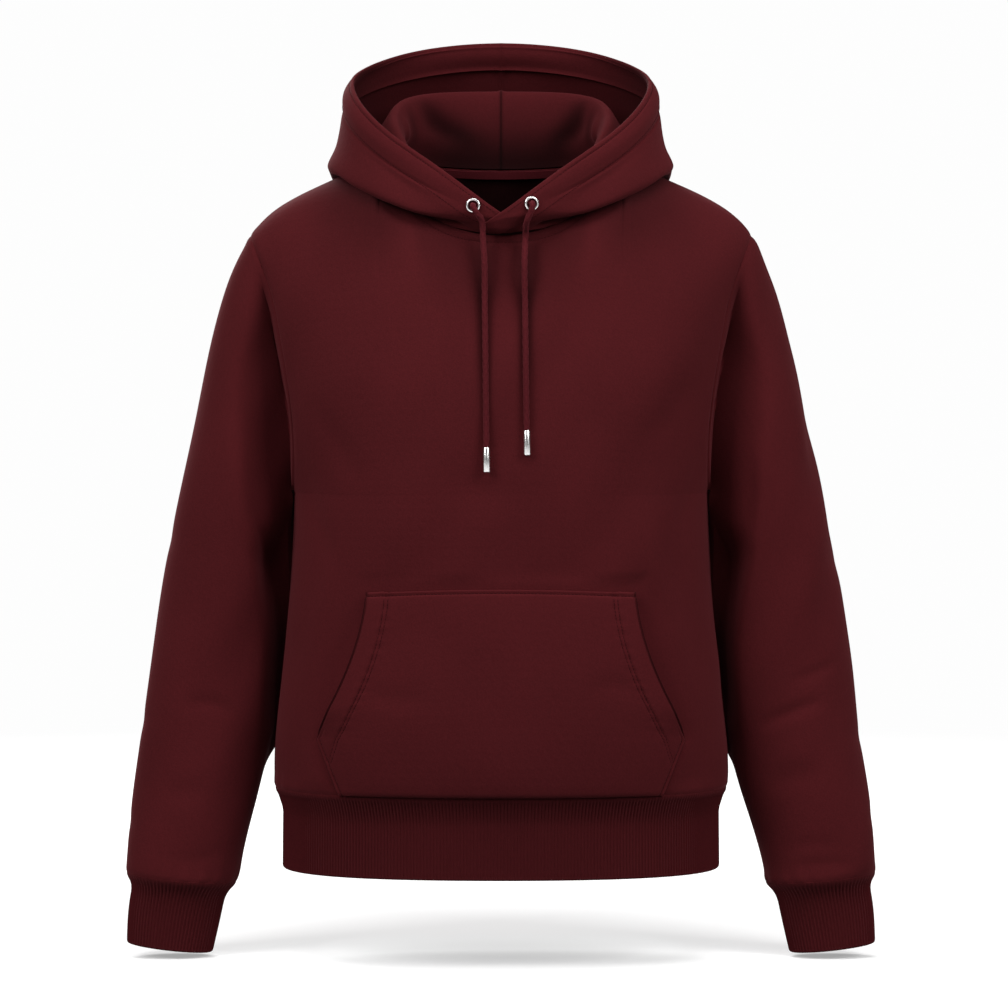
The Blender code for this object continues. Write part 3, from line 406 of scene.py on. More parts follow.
# How dark the painted shade on the collar is at the neck seam, the ring by which that is gone, the degrees
# from which it grows, and those over which it does.
COLLAR_SHADE = (0.86, 1.9, 85.0, 75.0)
TROUGH_SHADE = 0.6  # inside the laid-back hood, at its sides
TROUGH_RINGS = (3, 1.5)  # the ring from which it is shaded, and the rings over which that grows
TROUGH_DEGREES = (105, 55)  # the same round the neck, for how it goes
SEAM_SHADE = 0.6  # along the hood's middle seam
UNDER_HOOD = (0.3, 16.0, 88.0)  # how dark the chest is under the hood's edge, from and over which length
CHEST_SHADOWS = (  # under the hood's edge, and under the cords
    (0.42, 44, ((-190, -6), (-150, -22), (-118, -38), (-88, -50), (-56, -62))),
    (0.4, 44, ((190, -6), (150, -22), (118, -38), (88, -50), (56, -62))),
    (0.5, 7, ((-168, -4), (-142, -19), (-122, -31), (-104, -38), (-78, -47))),
    (0.45, 7, ((168, -4), (142, -19), (122, -31), (104, -38), (78, -47))),
    (0.55, 6.0, ((-16, -62), (-15.5, -130), (-14.6, -190), (-14, -246))),
    (0.55, 6.0, ((23.5, -62), (22.4, -120), (22.6, -180), (23.4, -230))),
    (0.3, 11.0, ((-16, -55), (-16, -80), (-15.6, -150))),
    (0.3, 11.0, ((23, -55), (23, -80), (22.6, -150))),
)
BODY_SHADOW = ((0.7, 10, ((199, -362), (200, -400), (203, -445), (208, -491), (213, -530), (219, -570))),)
# Painted shade on the pocket's inner face, which shows only where it reaches beyond the edges: a dark strip
# for the shadow in the gap at the mouths.
MOUTH_SHADE = 0.8


# ---------------------------------------------------------------- flat cuts and lengths

CUTS = {  # of what shows: width, length and area, in metres
    "front_body": (0.546, 0.633, 0.282),
    "back_body": (0.523, 0.638, 0.282),
    "sleeve": (0.572, 0.602, 0.184),
    "cuff": (0.233, 0.069, 0.016),
    "hem_rib": (1.022, 0.076, 0.0776),
    "hood": (0.485, 0.479, 0.099),
    "kangaroo_pocket": (0.354, 0.187, 0.0568),
    "neck_tape": (0.268, 0.010, 0.0020),
}


# ---------------------------------------------------------------- colours and relief

MAROON = (0.066, 0.0075, 0.0094, 1.0)
MAROON_RIB = (0.056, 0.0062, 0.0078, 1.0)
MAROON_TAPE = (0.075, 0.0085, 0.0120, 1.0)
MAROON_CORD = (0.070, 0.0080, 0.0110, 1.0)
MAROON_THREAD = (0.027, 0.0027, 0.0036, 1.0)
SILVER = (0.78, 0.77, 0.76, 1.0)
FUZZ = (1.0, 0.24, 0.28, 1.0)
MOTTLE_SCALE = 11.0
FIBRE_SCALE = 620.0
LOOPS_PER_METRE = {"X": 640.0, "Y": 760.0}  # across and along the cloth
LOOP_SHARE = 0.4  # of the knit's relief, beside its fibres


# ---------------------------------------------------------------- camera, light and floor

CAMERA_PLACE = (0.0028, -3.7, -0.2)
CAMERA_TARGET = (0.0028, 0.0, -0.311)
CAMERA_SENSOR = 36.0
VIEW_WIDTH = 0.927  # metres that the picture's width shows in the plane through the origin
AMBIENT = 0.16
FLOOR_GAP = 0.004
FLOOR_GLOW = 0.35
FLOOR_TONE = 0.7
BACKDROP_GLOW = 0.984
STAGE_HALF = 9.0
FLOOR_FADE = (1.3, 2.5)  # from the middle of the floor: it fades into the backdrop
LAMPS = (  # name, place, aim, size, power
    ("left softbox", (3.0, -2.6, 2.2), (0.0, 0.0, -0.25), (1.8, 2.6), 130.0),
    ("right softbox", (-3.0, -2.6, 2.2), (0.0, 0.0, -0.25), (1.8, 2.6), 130.0),
    ("top softbox", (0.0, -1.6, 3.0), (0.0, 0.0, -0.2), (2.4, 1.6), 56.0),
    ("back softbox", (-1.3, 3.6, 2.2), (0.0, 0.0, -0.3), (2.4, 1.8), 190.0),
)


# ---------------------------------------------------------------- shapes from tables


def spline(at, knots, values, flat_end=False):
    """The cubic spline through values at knots, read at each of `at`. Its ends are straight, and with
    flat_end its last slope is zero."""
    knots = np.asarray(knots, float)
    values = np.asarray(values, float)
    step = np.diff(knots)
    slope = np.diff(values, axis=0) / step.reshape(-1, *[1] * (values.ndim - 1))
    count = len(knots)
    matrix = np.eye(count)
    right = np.zeros_like(values)
    for i in range(1, count - 1):
        matrix[i, i - 1 : i + 2] = step[i - 1], 2 * (step[i - 1] + step[i]), step[i]
        right[i] = 6 * (slope[i] - slope[i - 1])
    if flat_end:
        matrix[-1, -2:] = step[-1], 2 * step[-1]
        right[-1] = -6 * slope[-1]
    bend = np.linalg.solve(matrix, right.reshape(count, -1)).reshape(values.shape)
    at = np.asarray(at, float)
    k = np.clip(np.searchsorted(knots, at, side="right") - 1, 0, count - 2)
    shape = at.shape + (1,) * (values.ndim - 1)
    width = step[k].reshape(shape)
    a = (knots[k + 1] - at).reshape(shape) / width
    b = 1 - a
    curve = (a**3 - a) * bend[k] + (b**3 - b) * bend[k + 1]
    return a * values[k] + b * values[k + 1] + curve * width**2 / 6


def table(rows, at, column):
    """A column of a table, as a spline over the table's first column."""
    rows = sorted(rows)
    return spline(at, [row[0] for row in rows], [row[column] for row in rows])


def ease(x):
    """0 below 0, 1 above 1, and a smooth step between."""
    x = np.clip(x, 0.0, 1.0)
    return x * x * (3 - 2 * x)


def hermite(s, start, start_slope, end, end_slope):
    """The cubic from start (s = 0) to end (s = 1) with these slopes at the two."""
    return (
        (2 * s**3 - 3 * s**2 + 1) * start
        + (s**3 - 2 * s**2 + s) * start_slope
        + (3 * s**2 - 2 * s**3) * end
        + (s**3 - s**2) * end_slope
    )


def unit(vectors):
    """The vectors at length 1."""
    length = np.linalg.norm(vectors, axis=-1, keepdims=True)
    return vectors / np.maximum(length, 1e-12)


def bell(distance, width):
    """1 where the distance is zero, falling like a bell to a third at the width."""
    return np.exp(-((distance / width) ** 2))


def points(x, y, z):
    """Points from arrays of their coordinates."""
    return np.stack(np.broadcast_arrays(x, y, z), axis=-1).astype(float)


def arc(grid, axis):
    """Length along each grid line, from its first point."""
    step = np.linalg.norm(np.diff(grid, axis=axis), axis=-1)
    start = np.zeros_like(np.take(step, [0], axis=axis))
    return np.concatenate([start, np.cumsum(step, axis=axis)], axis=axis)


# ---------------------------------------------------------------- torso


def armhole_y(height, side):
    """How far in front of (side -1) or behind (side +1) the seam plane the armhole's edge runs."""
    reach = ARMHOLE_FRONT if side < 0 else ARMHOLE_BACK
    across = np.clip(np.abs(height - ARMHOLE_MIDDLE) / ARMHOLE_HALF_HEIGHT, 0, 1)
    bow = (1 - across**ARMHOLE_SQUARENESS) ** (1 / ARMHOLE_SQUARENESS)
    return np.where(height <= ARMPIT, 0.0, side * reach * bow)


def boxy(angle):
    """Depth of a level of the torso over its largest depth, from the middle (0) to the side."""
    return np.cos(angle) * (1 + BOXINESS * np.sin(angle) ** 2)


def depth_of(height, side):
    """How far the front (side -1) or the back (side +1) stands from the seam plane."""
    return table(TORSO, height, 2 if side < 0 else 3)


def angle_of(share):
    """The angle at which a level of the torso has this share of its largest depth."""
    angles = np.linspace(0, np.pi / 2, 400)
    return np.interp(-share, -boxy(angles), angles)


def edge_angle(height, side):
    """The angle at which the armhole cuts the oval of this level."""
    return angle_of(np.abs(armhole_y(height, side)) / depth_of(height, side))


def torso_level(share, height, side):
    """A point of the torso below the yoke. share runs from -1 to 1 across the panel."""
    end = edge_angle(height, side)
    angle = share * end
    x = table(TORSO, height, 1) * np.sin(angle) / np.sin(end)
    return points(x, MIDDLE_Y + side * depth_of(height, side) * boxy(angle), height)


def torso_half_width(height, y):
    """Half the torso's width at this height and depth."""
    side_depth = np.where(y < MIDDLE_Y, depth_of(height, -1), depth_of(height, 1))
    share = np.clip(np.abs(y - MIDDLE_Y) / side_depth, 0, 1)
    return table(TORSO, height, 1) * np.sin(angle_of(share))


def front_y(x, height):
    """The front's outer face at a place below the yoke."""
    angle = np.arcsin(np.clip(np.abs(x) / table(TORSO, height, 1), 0, 1))
    return MIDDLE_Y - depth_of(height, -1) * boxy(angle)


def neck_seam(degrees):
    """The neck seam, with 0 at the front and 180 at the back."""
    angle = np.radians(degrees)
    cos = np.cos(angle)
    y = MIDDLE_Y - np.where(cos > 0, NECK_FRONT, NECK_BACK) * cos
    dip = NECK_SIDE_HEIGHT + (NECK_FRONT_HEIGHT - NECK_SIDE_HEIGHT) * np.abs(cos) ** NECK_DIP
    rise = NECK_SIDE_HEIGHT + (NECK_BACK_HEIGHT - NECK_SIDE_HEIGHT) * cos**2
    return points(NECK_HALF_WIDTH * np.sin(angle), y, np.where(cos > 0, dip, rise))


def spread(start, end, pitch, near_start=(0.0,), near_end=(0.0,)):
    """Values from start to end about a pitch apart, and closer together near the ends: there they lie
    at the given distances from the end."""
    low = start + np.array(near_start)
    high = end - np.array(near_end)[::-1]
    count = max(2, round((high[0] - low[-1]) / pitch) + 1)
    return np.concatenate([low[:-1], np.linspace(low[-1], high[0], count), high[1:]])


def panel_columns(side, degrees, steps):
    """For each grid line that runs up a panel: its share of the panel's half width, the point where it
    ends on the neck seam (at these degrees) or the shoulder seam (at these steps of its length), and
    how far it leans there."""
    share = NECK_SHARE * (degrees / 90 + np.sin(np.radians(degrees))) / 2
    ends = neck_seam(degrees if side < 0 else 180 - degrees)
    lean = NECK_LEAN[0] + (NECK_LEAN[1] - NECK_LEAN[0]) * (degrees / 90) ** 1.3
    steps = steps[1:]
    out = NECK_HALF_WIDTH + (SHOULDER[-1][0] - NECK_HALF_WIDTH) * steps
    shoulder = points(out, MIDDLE_Y, table(SHOULDER, out, 1))
    share = np.concatenate([share, NECK_SHARE + (1 - NECK_SHARE) * steps])
    ends = np.concatenate([ends, shoulder])
    lean = np.concatenate([lean, np.full(len(steps), 90.0)])
    mirror = np.array([-1.0, 1.0, 1.0])
    return (
        np.concatenate([-share[:0:-1], share]),
        np.concatenate([ends[:0:-1] * mirror, ends]),
        np.concatenate([lean[:0:-1], lean]),
    )


def torso_panel(side, degrees, steps, low, quarter, s):
    """Outer face of the front (side -1) or back (side +1): rows go up, columns across. low are heights
    below the armpit, quarter angles along the armhole's lower part, and s runs from 0 to 1 over the
    yoke, where each column is a Hermite curve to its end on the neck or shoulder seam."""
    share, ends, lean = panel_columns(side, degrees, steps)
    high = ARMPIT + (YOKE - ARMPIT) * (1 - np.cos(quarter[1:]))
    heights = np.concatenate([low, high])[:, None]
    lower = torso_level(share[None, :], heights, side)

    start = lower[-1]
    rise = start - torso_level(share, np.float64(YOKE - 2.0), side)
    reach = np.linalg.norm(ends - start, axis=1)[:, None] * SHOULDER_ROUNDING
    lean = np.radians(lean)
    out_slope = unit(points(0.0, -side * np.sin(lean), np.cos(lean))) * reach
    in_slope = unit(rise) * reach
    return np.concatenate([lower, hermite(s[1:, None, None], start, in_slope, ends, out_slope)])


COARSE_DEGREES = np.arange(0, 90 + NECK_STEP / 2, NECK_STEP)
COARSE = dict(
    degrees=COARSE_DEGREES,
    steps=np.array(SHOULDER_STEPS),
    low=np.linspace(HEM_SEAM, ARMPIT, BODY_LEVELS + 1),
    quarter=np.linspace(0, np.pi / 2, ARMHOLE_LEVELS + 1),
    s=np.linspace(0, 1, YOKE_LEVELS + 1),
)


# ---------------------------------------------------------------- sleeves, cuffs and hem


def sleeve(ring, turn, steps):
    """Outer face of the left sleeve: rows go down, columns round. Each ring leans from the armhole's
    plane towards level, and its shape turns from the armhole's into an oval at these turns."""
    middle = len(ring) // 2
    inner_end, outer_end = ring[0], ring[middle]
    across = unit((outer_end - inner_end) * np.array([1.0, 0.0, 1.0]))
    normal = np.array([across[2], 0.0, -across[0]])
    half = np.linalg.norm((outer_end - inner_end)[[0, 2]]) / 2
    shape = ring - (inner_end + outer_end) / 2
    along = shape @ across / half
    depth = (ring[:, 1] - MIDDLE_Y) / SLEEVE_GIRTH[0][2]
    proud = shape @ normal

    rows = []
    for w in steps:
        outer_z = SHOULDER_POINT + (SLEEVE_OUTER[0][0] - SHOULDER_POINT) * w
        inner_z = ARMPIT + (SLEEVE_INNER[0][0] - ARMPIT) * w**SLEEVE_LAG
        low = np.array([table(SLEEVE_INNER, inner_z, 1), inner_z])
        high = np.array([table(SLEEVE_OUTER, outer_z, 1), outer_z])
        centre = (low + high) / 2
        radius = (high - low) / 2
        tilt = unit(np.array([radius[1], -radius[0]]))
        blend = ease(w / SLEEVE_HEAD)
        c = (1 - blend) * along + blend * np.cos(turn)
        d = (1 - blend) * depth - blend * np.sin(turn)
        n = (1 - blend) * proud
        y = table(SLEEVE_GIRTH, w, 1) + table(SLEEVE_GIRTH, w, 2) * d
        x = centre[0] + radius[0] * c + tilt[0] * n
        z = centre[1] + radius[1] * c + tilt[1] * n
        rows.append(clear_of_torso(points(x, y, z), w) if w > 0 else ring)
    return np.array(rows)


def clear_of_torso(ring, w):
    """Pushes the part of a sleeve's ring that would touch the torso out to just clear of its side."""
    x, y, z = ring[:, 0], ring[:, 1], ring[:, 2]
    wall = torso_half_width(np.minimum(z, YOKE), y) + SEAM_GAP + SLEEVE_CLEARANCE * ease(w / 0.2)
    pushed = wall + SLEEVE_SOFTNESS * np.logaddexp(0, (x - wall) / SLEEVE_SOFTNESS)
    return points(x + (pushed - x) * ease((ARMHOLE_MIDDLE - z) / 60), y, z)


def even_columns(grid, row, count):
    """A tube's grid, read at count columns that lie evenly along the given row."""
    closed = np.concatenate([grid, grid[:, :1]], axis=1)
    run = arc(closed[row : row + 1], 1)[0]
    at = np.interp(np.arange(count) * run[-1] / count, run, np.arange(closed.shape[1]))
    return between_columns(closed, at)


def between_columns(grid, at):
    """The grid read at these places, counted in columns, by straight lines between its points."""
    k = np.clip(at.astype(int), 0, grid.shape[1] - 2)
    share = (at - k)[None, :, None]
    return grid[:, k] * (1 - share) + grid[:, k + 1] * share


def cuff(top, downs):
    """Outer face of the left cuff, from the sleeve's last ring down, at these distances."""
    turn = np.pi - 2 * np.pi * np.arange(len(top)) / len(top)
    knots = [0.0] + [row[0] for row in CUFF]
    rows = [top]
    for down, outer, inner, half_depth in CUFF:
        share = down / CUFF[-1][0]
        x = (outer + inner) / 2 + (outer - inner) / 2 * np.cos(turn)
        z = SLEEVE_OUTER[0][0] - down - CUFF_TILT * (0.5 - 0.5 * np.cos(turn))
        y = SLEEVE_GIRTH[-1][1] - half_depth * np.sin(turn) - 3.0 * share
        rows.append(points(x, y, z))
    return spline(downs, knots, np.array(rows))


def hem(ring, downs):
    """Outer face of the hem band, from the body's lower edge down: the same ring, drawn in."""
    outward = unit((ring - np.array([0.0, MIDDLE_Y, 0.0])) * np.array([0.4, 1.0, 0.0]))
    narrower = np.interp(downs, [0.0] + [row[0] for row in HEM], [0.0] + [row[1] for row in HEM])
    rows = ring - outward * narrower[:, None, None]
    rows[..., 2] = HEM_SEAM - downs[:, None]
    return rows


def sleeve_hollow(tube, edge):
    """The sleeve's front sinks back beside the body, behind a slope that rises outwards from the line
    where the body's front ends. The hollow's depth and slope change with the height."""
    z = tube[..., 2]
    off = tube[..., 0] - np.interp(z, edge[:, 2], edge[:, 0])
    foremost = tube[..., 1].min(axis=1, keepdims=True)
    depth, floor, slope = (table(HOLLOW, z, column) for column in (1, 2, 3))
    behind = foremost + depth - slope * np.maximum(off - floor, 0)
    push = HOLLOW_ROUND * np.logaddexp(0, (behind - tube[..., 1]) / HOLLOW_ROUND)
    away = ease(arc(tube, 0) / HOLLOW_FROM_SEAM)
    return tube + points(0, push * away * (depth > 0), 0)


def sleeve_behind(tube):
    """Behind the side seam the sleeve's inner side lies close against the body's rounding back."""
    x, y, z = tube[..., 0], tube[..., 1], tube[..., 2]
    inner = ease((x.mean(axis=1, keepdims=True) - x) / 40)
    low = ease((ARMPIT + 12 - z) / 26) * ease((z - BESIDE_BODY_TO) / 62)
    start = MIDDLE_Y + 4 - 20 * bell(z - ARMPIT, 30)
    closer = x - BESIDE_BODY * inner * ease((y - start) / 20) * low
    wall = torso_half_width(np.minimum(z, YOKE), y) + SEAM_GAP
    return points(np.where(low > 0, np.maximum(closer, np.minimum(wall, x)), x), y, z)


def closed_armpit(z):
    """The seams that meet at the armpit grow shallow there: a share of their depth, from the height."""
    return 1 - ARMPIT_CLOSED[0] * bell(z - ARMPIT, ARMPIT_CLOSED[1])


# ---------------------------------------------------------------- hood


def hood_rings(degrees):
    """The rings the hood is drawn through, one after the other, for the wearer's left half. At its
    front end the half is a straight band from the neck seam to the opening's edge."""
    angle = np.radians(degrees)
    cos = np.cos(angle)
    rings = [neck_seam(degrees)]
    for half_width, middle_y, front, back, heights in HOOD:
        y = middle_y - np.where(cos > 0, front, back) * cos
        z = spline(degrees, HOOD_ANGLES, heights, flat_end=True)
        rings.append(points(half_width * np.sin(angle), y, z))
    rings = np.array(rings)
    plain = HOOD_PLAIN[0] * (1 - ease((degrees - HOOD_ANGLES[1]) / HOOD_PLAIN[1]))[:, None]
    climb = (np.arange(9) / 8)[:, None, None]
    rings[:9] += (rings[0] + (rings[8] - rings[0]) * climb - rings[:9]) * plain
    end = (1 - ease((degrees - HOOD_ANGLES[0]) / (HOOD_ANGLES[1] - HOOD_ANGLES[0])))[:, None]
    edge = rings[-1].copy()
    edge[:, 1] += (rings[0][:, 1] - edge[:, 1]) * HOOD_TUCK
    up = np.linspace(0, 1, len(rings))[:, None, None]
    return rings + (rings[0] + (edge - rings[0]) * up - rings) * end


def through(rings, at):
    """Smooth curves through the rings, read at places counted in rings. The slope at a ring weighs the
    two runs beside it by their lengths."""
    run = np.diff(rings, axis=0)
    pace = np.sqrt(np.maximum(np.linalg.norm(run, axis=-1, keepdims=True), 1e-6))
    speed = run / pace
    inner = (speed[:-1] * pace[1:] + speed[1:] * pace[:-1]) / (pace[:-1] + pace[1:])
    slopes = np.concatenate([speed[:1], inner, speed[-1:]])
    k = np.clip(np.asarray(at).astype(int), 0, len(run) - 1)
    s = (at - k)[:, None, None]
    return hermite(s, rings[k], slopes[k] * pace[k], rings[k + 1], slopes[k + 1] * pace[k])


def shoulder_height(x, y, front, back):
    """Height of the body's outer face above the yoke at a place in plan."""
    grid = (front if y < MIDDLE_Y else back[::-1])[:, front.shape[1] // 2 :]
    across = [np.interp(y, column[:, 1], column[:, 0]) for column in grid.transpose(1, 0, 2)]
    heights = [np.interp(y, column[:, 1], column[:, 2]) for column in grid.transpose(1, 0, 2)]
    return np.interp(x, across, heights)


def shoulder_lift():
    """How far the solid's grid rises to lie clear of the shoulders: (degrees, rings, lift)."""
    degrees = np.concatenate([[HOOD_ANGLES[0]], np.arange(0, 180 + NECK_STEP / 2, NECK_STEP)])
    at = np.concatenate([[0.0]] + [k + np.arange(1, n + 1) / n for k, n in enumerate(HOOD_STEPS)])
    surface = through(hood_rings(degrees), at)
    front, back = (torso_panel(way, **COARSE)[BODY_LEVELS + ARMHOLE_LEVELS :] for way in (-1, 1))
    lift = np.zeros(surface.shape[:2])
    for r in range(sum(HOOD_STEPS[:3]), len(at)):
        for c in np.flatnonzero(degrees > HOOD_SHOULDER_FROM):
            x, y, z = surface[r, c]
            least = shoulder_height(x, y, front, back) + HOOD_CLEARANCE
            up = np.logaddexp(0.0, (least - z) / HOOD_SOFTNESS) * HOOD_SOFTNESS
            lift[r, c] = up if up > 0.05 else 0.0
    return degrees, at, lift


def hood(side, degrees, at):
    """Outer face of a hood half: rows go up from the neck seam, columns from the front to the back."""
    surface = through(hood_rings(degrees), at)
    solid_degrees, solid_at, lift = LIFT
    lift = np.array([np.interp(degrees, solid_degrees, row) for row in lift])
    surface[..., 2] += np.array([np.interp(at, solid_at, column) for column in lift.T]).T
    lifted = degrees < 0
    if side > 0:
        fade = 1 - ease((degrees - HOOD_LAP_FADE[0]) / (HOOD_LAP_FADE[1] - HOOD_LAP_FADE[0]))
        surface[..., 1] -= HOOD_LAP * fade
        lifted = fade > 0
    low_rows = np.clip(1 - np.asarray(at) / 4, 0, 1)
    surface[..., 2] += HOOD_FRONT_LIFT * low_rows[:, None] * lifted[None, :]
    surface[..., 0] *= side
    return surface


LIFT = shoulder_lift()


def hood_normal(outer):
    """Normals of a hood half, facing the cloth's outside: away from the neck at its lowest rows."""
    normal = unit(np.cross(np.gradient(outer, axis=1), np.gradient(outer, axis=0)))
    away = outer[2] - points(0.0, MIDDLE_Y, outer[2, :, 2])
    return normal if (away * normal[2]).sum() > 0 else -normal


# ---------------------------------------------------------------- pocket


def pocket_half_width(height):
    """Half the pocket's width: the curved mouth above the corner, a straight slant below it."""
    down = np.clip((POCKET_TOP - height) / (POCKET_TOP - POCKET_CORNER), 0, 1)
    mouth = POCKET_TOP_HALF + (POCKET_CORNER_HALF - POCKET_TOP_HALF) * down**POCKET_MOUTH_CURVE
    below = np.clip((POCKET_CORNER - height) / (POCKET_CORNER - HEM_SEAM), 0, 1)
    return mouth + (POCKET_BOTTOM_HALF - POCKET_CORNER_HALF) * below


def pocket(heights, insets):
    """Outer face of the pocket, made from the front's own points and moved out. The insets are
    distances from each side edge, and between the last two the columns are evenly spread."""
    heights = heights[:, None]
    bottom = HEM_SEAM + 1.0
    half = pocket_half_width(heights)
    middle = np.linspace(-1, 1, 90)[1:-1] * (half - insets[-1])
    x = np.concatenate([insets - half, middle, half - insets[::-1]], axis=1)
    s = x / half
    up = (heights - bottom) / (POCKET_TOP - bottom)
    z = heights + POCKET_ARCH * (1 - s**2) * up
    full = np.clip(4 * up * (1 - up), 0, 1) ** 0.6
    sewn = 1 - ease((heights - POCKET_CORNER) / 30)
    full = full * (1 - sewn * np.abs(s) ** 6)
    lift = POCKET_LIFT + FLEECE + POCKET_FULLNESS * full
    flat = points(x, front_y(x, z), z)
    return flat + grid_normals(flat, False) * lift[..., None]


def mouth_line(heights, inset):
    """How far from the pocket's side the mouth's stitching lies: further down to the corner, below
    which it runs straight on and so meets the side."""
    fall = np.clip((POCKET_TOP - heights) / (POCKET_TOP - POCKET_CORNER), 0, 1)
    return inset + MOUTH_WIDENS * fall - MOUTH_LEAN * np.maximum(POCKET_CORNER - heights, 0)


# ---------------------------------------------------------------- cloth as a grid


def grid_normals(grid, tube):
    """Unit normals of a grid of points, from the differences between neighbours, facing away from the
    body's middle or, on a tube, from the tube's."""
    if tube:
        across = np.roll(grid, -1, axis=1) - np.roll(grid, 1, axis=1)
        middle = grid.mean(axis=1, keepdims=True)
    else:
        across = np.gradient(grid, axis=1)
        middle = points(0.0, MIDDLE_Y, grid[..., 2])
    normal = unit(np.cross(across, np.gradient(grid, axis=0)))
    return normal if ((grid - middle) * normal).sum() > 0 else -normal


class Cloth:
    """A cloth piece: the grid of its outer face, and how far each point is moved out or in."""

    def __init__(self, name, outer, wall=FLEECE, tube=False):
        self.name = name
        self.outer = outer
        self.wall = np.broadcast_to(wall, outer.shape[:2]).astype(float)
        self.tube = tube
        self.normal = grid_normals(outer, tube)
        self.height = np.zeros(outer.shape[:2])
        self.thin = np.ones(outer.shape[:2])
        self.run = (arc(outer, 0), arc(outer, 1))
        self.shade = None
        self.inner_shade = None
        self.flare = {}

    def off(self, edge):
        """Distance of each point from an edge, along the grid."""
        axis, end = EDGES[edge]
        run = self.run[axis]
        return run if end == 0 else np.take(run, [-1], axis=axis) - run

    def seam(self, edge, depth=SEAM_DEPTH, width=SEAM_WIDTH):
        """The cloth rolls in towards a seam: it falls by depth over width, steepest at the edge."""
        self.height -= depth * np.clip(1 - self.off(edge) / width, 0, 1) ** 2

    def groove(self, distance, depth, width):
        """A soft groove where distance is zero, with the profile of a bell."""
        self.height -= depth * bell(distance, width)

    def fold(self, edge):
        """A folded edge: half the wall's thickness follows a circle up to the edge."""
        radius = self.wall / 2
        e = np.clip(self.off(edge) / radius, 0, 1)
        self.thin = np.minimum(self.thin, np.sqrt(np.clip(1 - (1 - e) ** 2, 0.09, 1)))

    def creases(self, u, v, rows, mask=1.0):
        """Soft ridges and, where the height is below zero, troughs: each has the profile of a bell
        across a smooth curve through its places (u, v), and runs out towards both ends."""
        for height, width, places in rows:
            off, share = off_curve(u, v, places)
            runs = ease(np.minimum(share, 1 - share) / CREASE_END)
            self.height += height * bell(off, width) * runs * mask

    def swell(self, u, v, rows, mask=1.0):
        """A low uneven rise and fall: waves of this height, with these lengths along u and v."""
        for height, along_u, along_v, start in rows:
            self.height += height * np.sin(2 * np.pi * (u / along_u + v / along_v) + start) * mask

    def shadows(self, u, v, rows, mask=1.0):
        """Painted shadows: soft dark lines through their places (u, v), in the colour alone."""
        for share, width, places in rows:
            off, along = off_curve(u, v, places)
            runs = ease(np.minimum(along, 1 - along) / CREASE_END)
            light = (1 - self.shade) * (1 - share * bell(off, width) * runs * mask)
            self.shade = 1 - light

    def inside(self, width, *edges):
        """0 at these edges and 1 from this distance inwards."""
        return np.prod([ease(self.off(edge) / width) for edge in edges], axis=0)

    def gathers(self, edge, height, pitch, width):
        """Small uneven puckers where the cloth is sewn to a tighter rib."""
        run, off = self.run[1], self.off(edge)
        wave = np.sin(2 * np.pi * run / pitch + 1.7 * np.sin(run / (2.3 * pitch)))
        strength = 0.6 + 0.4 * np.sin(run / (1.9 * pitch) + 1.0)
        self.height += height * wave * strength * np.exp(-off / width) * ease(off / 3)

    def line(self, edge, inset):
        """(points, normals) of the line on the outer face at this distance from an edge."""
        axis, _ = EDGES[edge]
        face, off = self.face(), self.off(edge)
        normal = grid_normals(face, self.tube)
        if axis == 1:
            face, normal, off = face.swapaxes(0, 1), normal.swapaxes(0, 1), off.T
        if off[0, 0] > off[-1, 0]:
            face, normal, off = face[::-1], normal[::-1], off[::-1]
        insets = np.broadcast_to(inset, len(off[0]))
        at = np.array([np.interp(d, column, np.arange(len(column))) for d, column in zip(insets, off.T)])
        k = np.clip(at.astype(int), 0, len(off) - 2)
        share = (at - k)[:, None]
        column = np.arange(len(at))
        return (
            face[k, column] * (1 - share) + face[k + 1, column] * share,
            unit(normal[k, column] * (1 - share) + normal[k + 1, column] * share),
        )

    def face(self):
        """The outer face as it is seen."""
        inward = self.wall / 2 * (1 - self.thin)
        return self.outer + self.normal * (self.height - inward)[..., None]

    def make(self, material, painted_shade_inner=None, painted_shade_rows=None):
        """The finished piece. A darker copy of its material, which paints shade, lies on the inner face, up
        to this row.
        """
        inward = self.wall / 2 * (1 + self.thin)
        inner = self.outer + self.normal * (self.height - inward)[..., None]
        for edge, beyond in self.flare.items():
            end, onward = (0, 1) if edge == "first_column" else (-1, -2)
            inner[:, end] += unit(inner[:, end] - inner[:, onward]) * beyond[:, None]
        piece = wall_mesh(self.name, self.face(), inner, self.run, material, self.tube)
        if self.shade is not None:
            below = self.shade if self.inner_shade is None else self.inner_shade + 0 * self.shade
            layer = piece.data.attributes.new("shade", "FLOAT", "POINT")
            layer.data.foreach_set("value", np.stack([self.shade, below]).reshape(-1).astype(np.float32))
        if painted_shade_inner:
            piece.data.materials.append(painted_shade_inner)
            rows, across = np.array(self.outer.shape[:2]) - (1, 0 if self.tube else 1)
            slots = np.zeros(len(piece.data.polygons), np.int32)
            slots[rows * across : (rows + (painted_shade_rows or rows)) * across] = 1
            piece.data.polygons.foreach_set("material_index", slots)
        return piece


def off_curve(u, v, places):
    """Distance of each (u, v) from a smooth curve through the places, and its nearest point's share of
    the curve's length."""
    places = np.array(places, float)
    knots = arc(places[None], 1)[0]
    curve = spline(np.linspace(0, knots[-1], CREASE_PARTS + 1), knots, places)
    off = np.full(u.shape, np.inf)
    share = np.zeros(u.shape)
    for k, ((u0, v0), (u1, v1)) in enumerate(zip(curve, curve[1:])):
        du, dv = u1 - u0, v1 - v0
        t = np.clip(((u - u0) * du + (v - v0) * dv) / (du * du + dv * dv), 0, 1)
        here = np.hypot(u - u0 - t * du, v - v0 - t * dv)
        share = np.where(here < off, (k + t) / CREASE_PARTS, share)
        off = np.minimum(off, here)
    return off, share


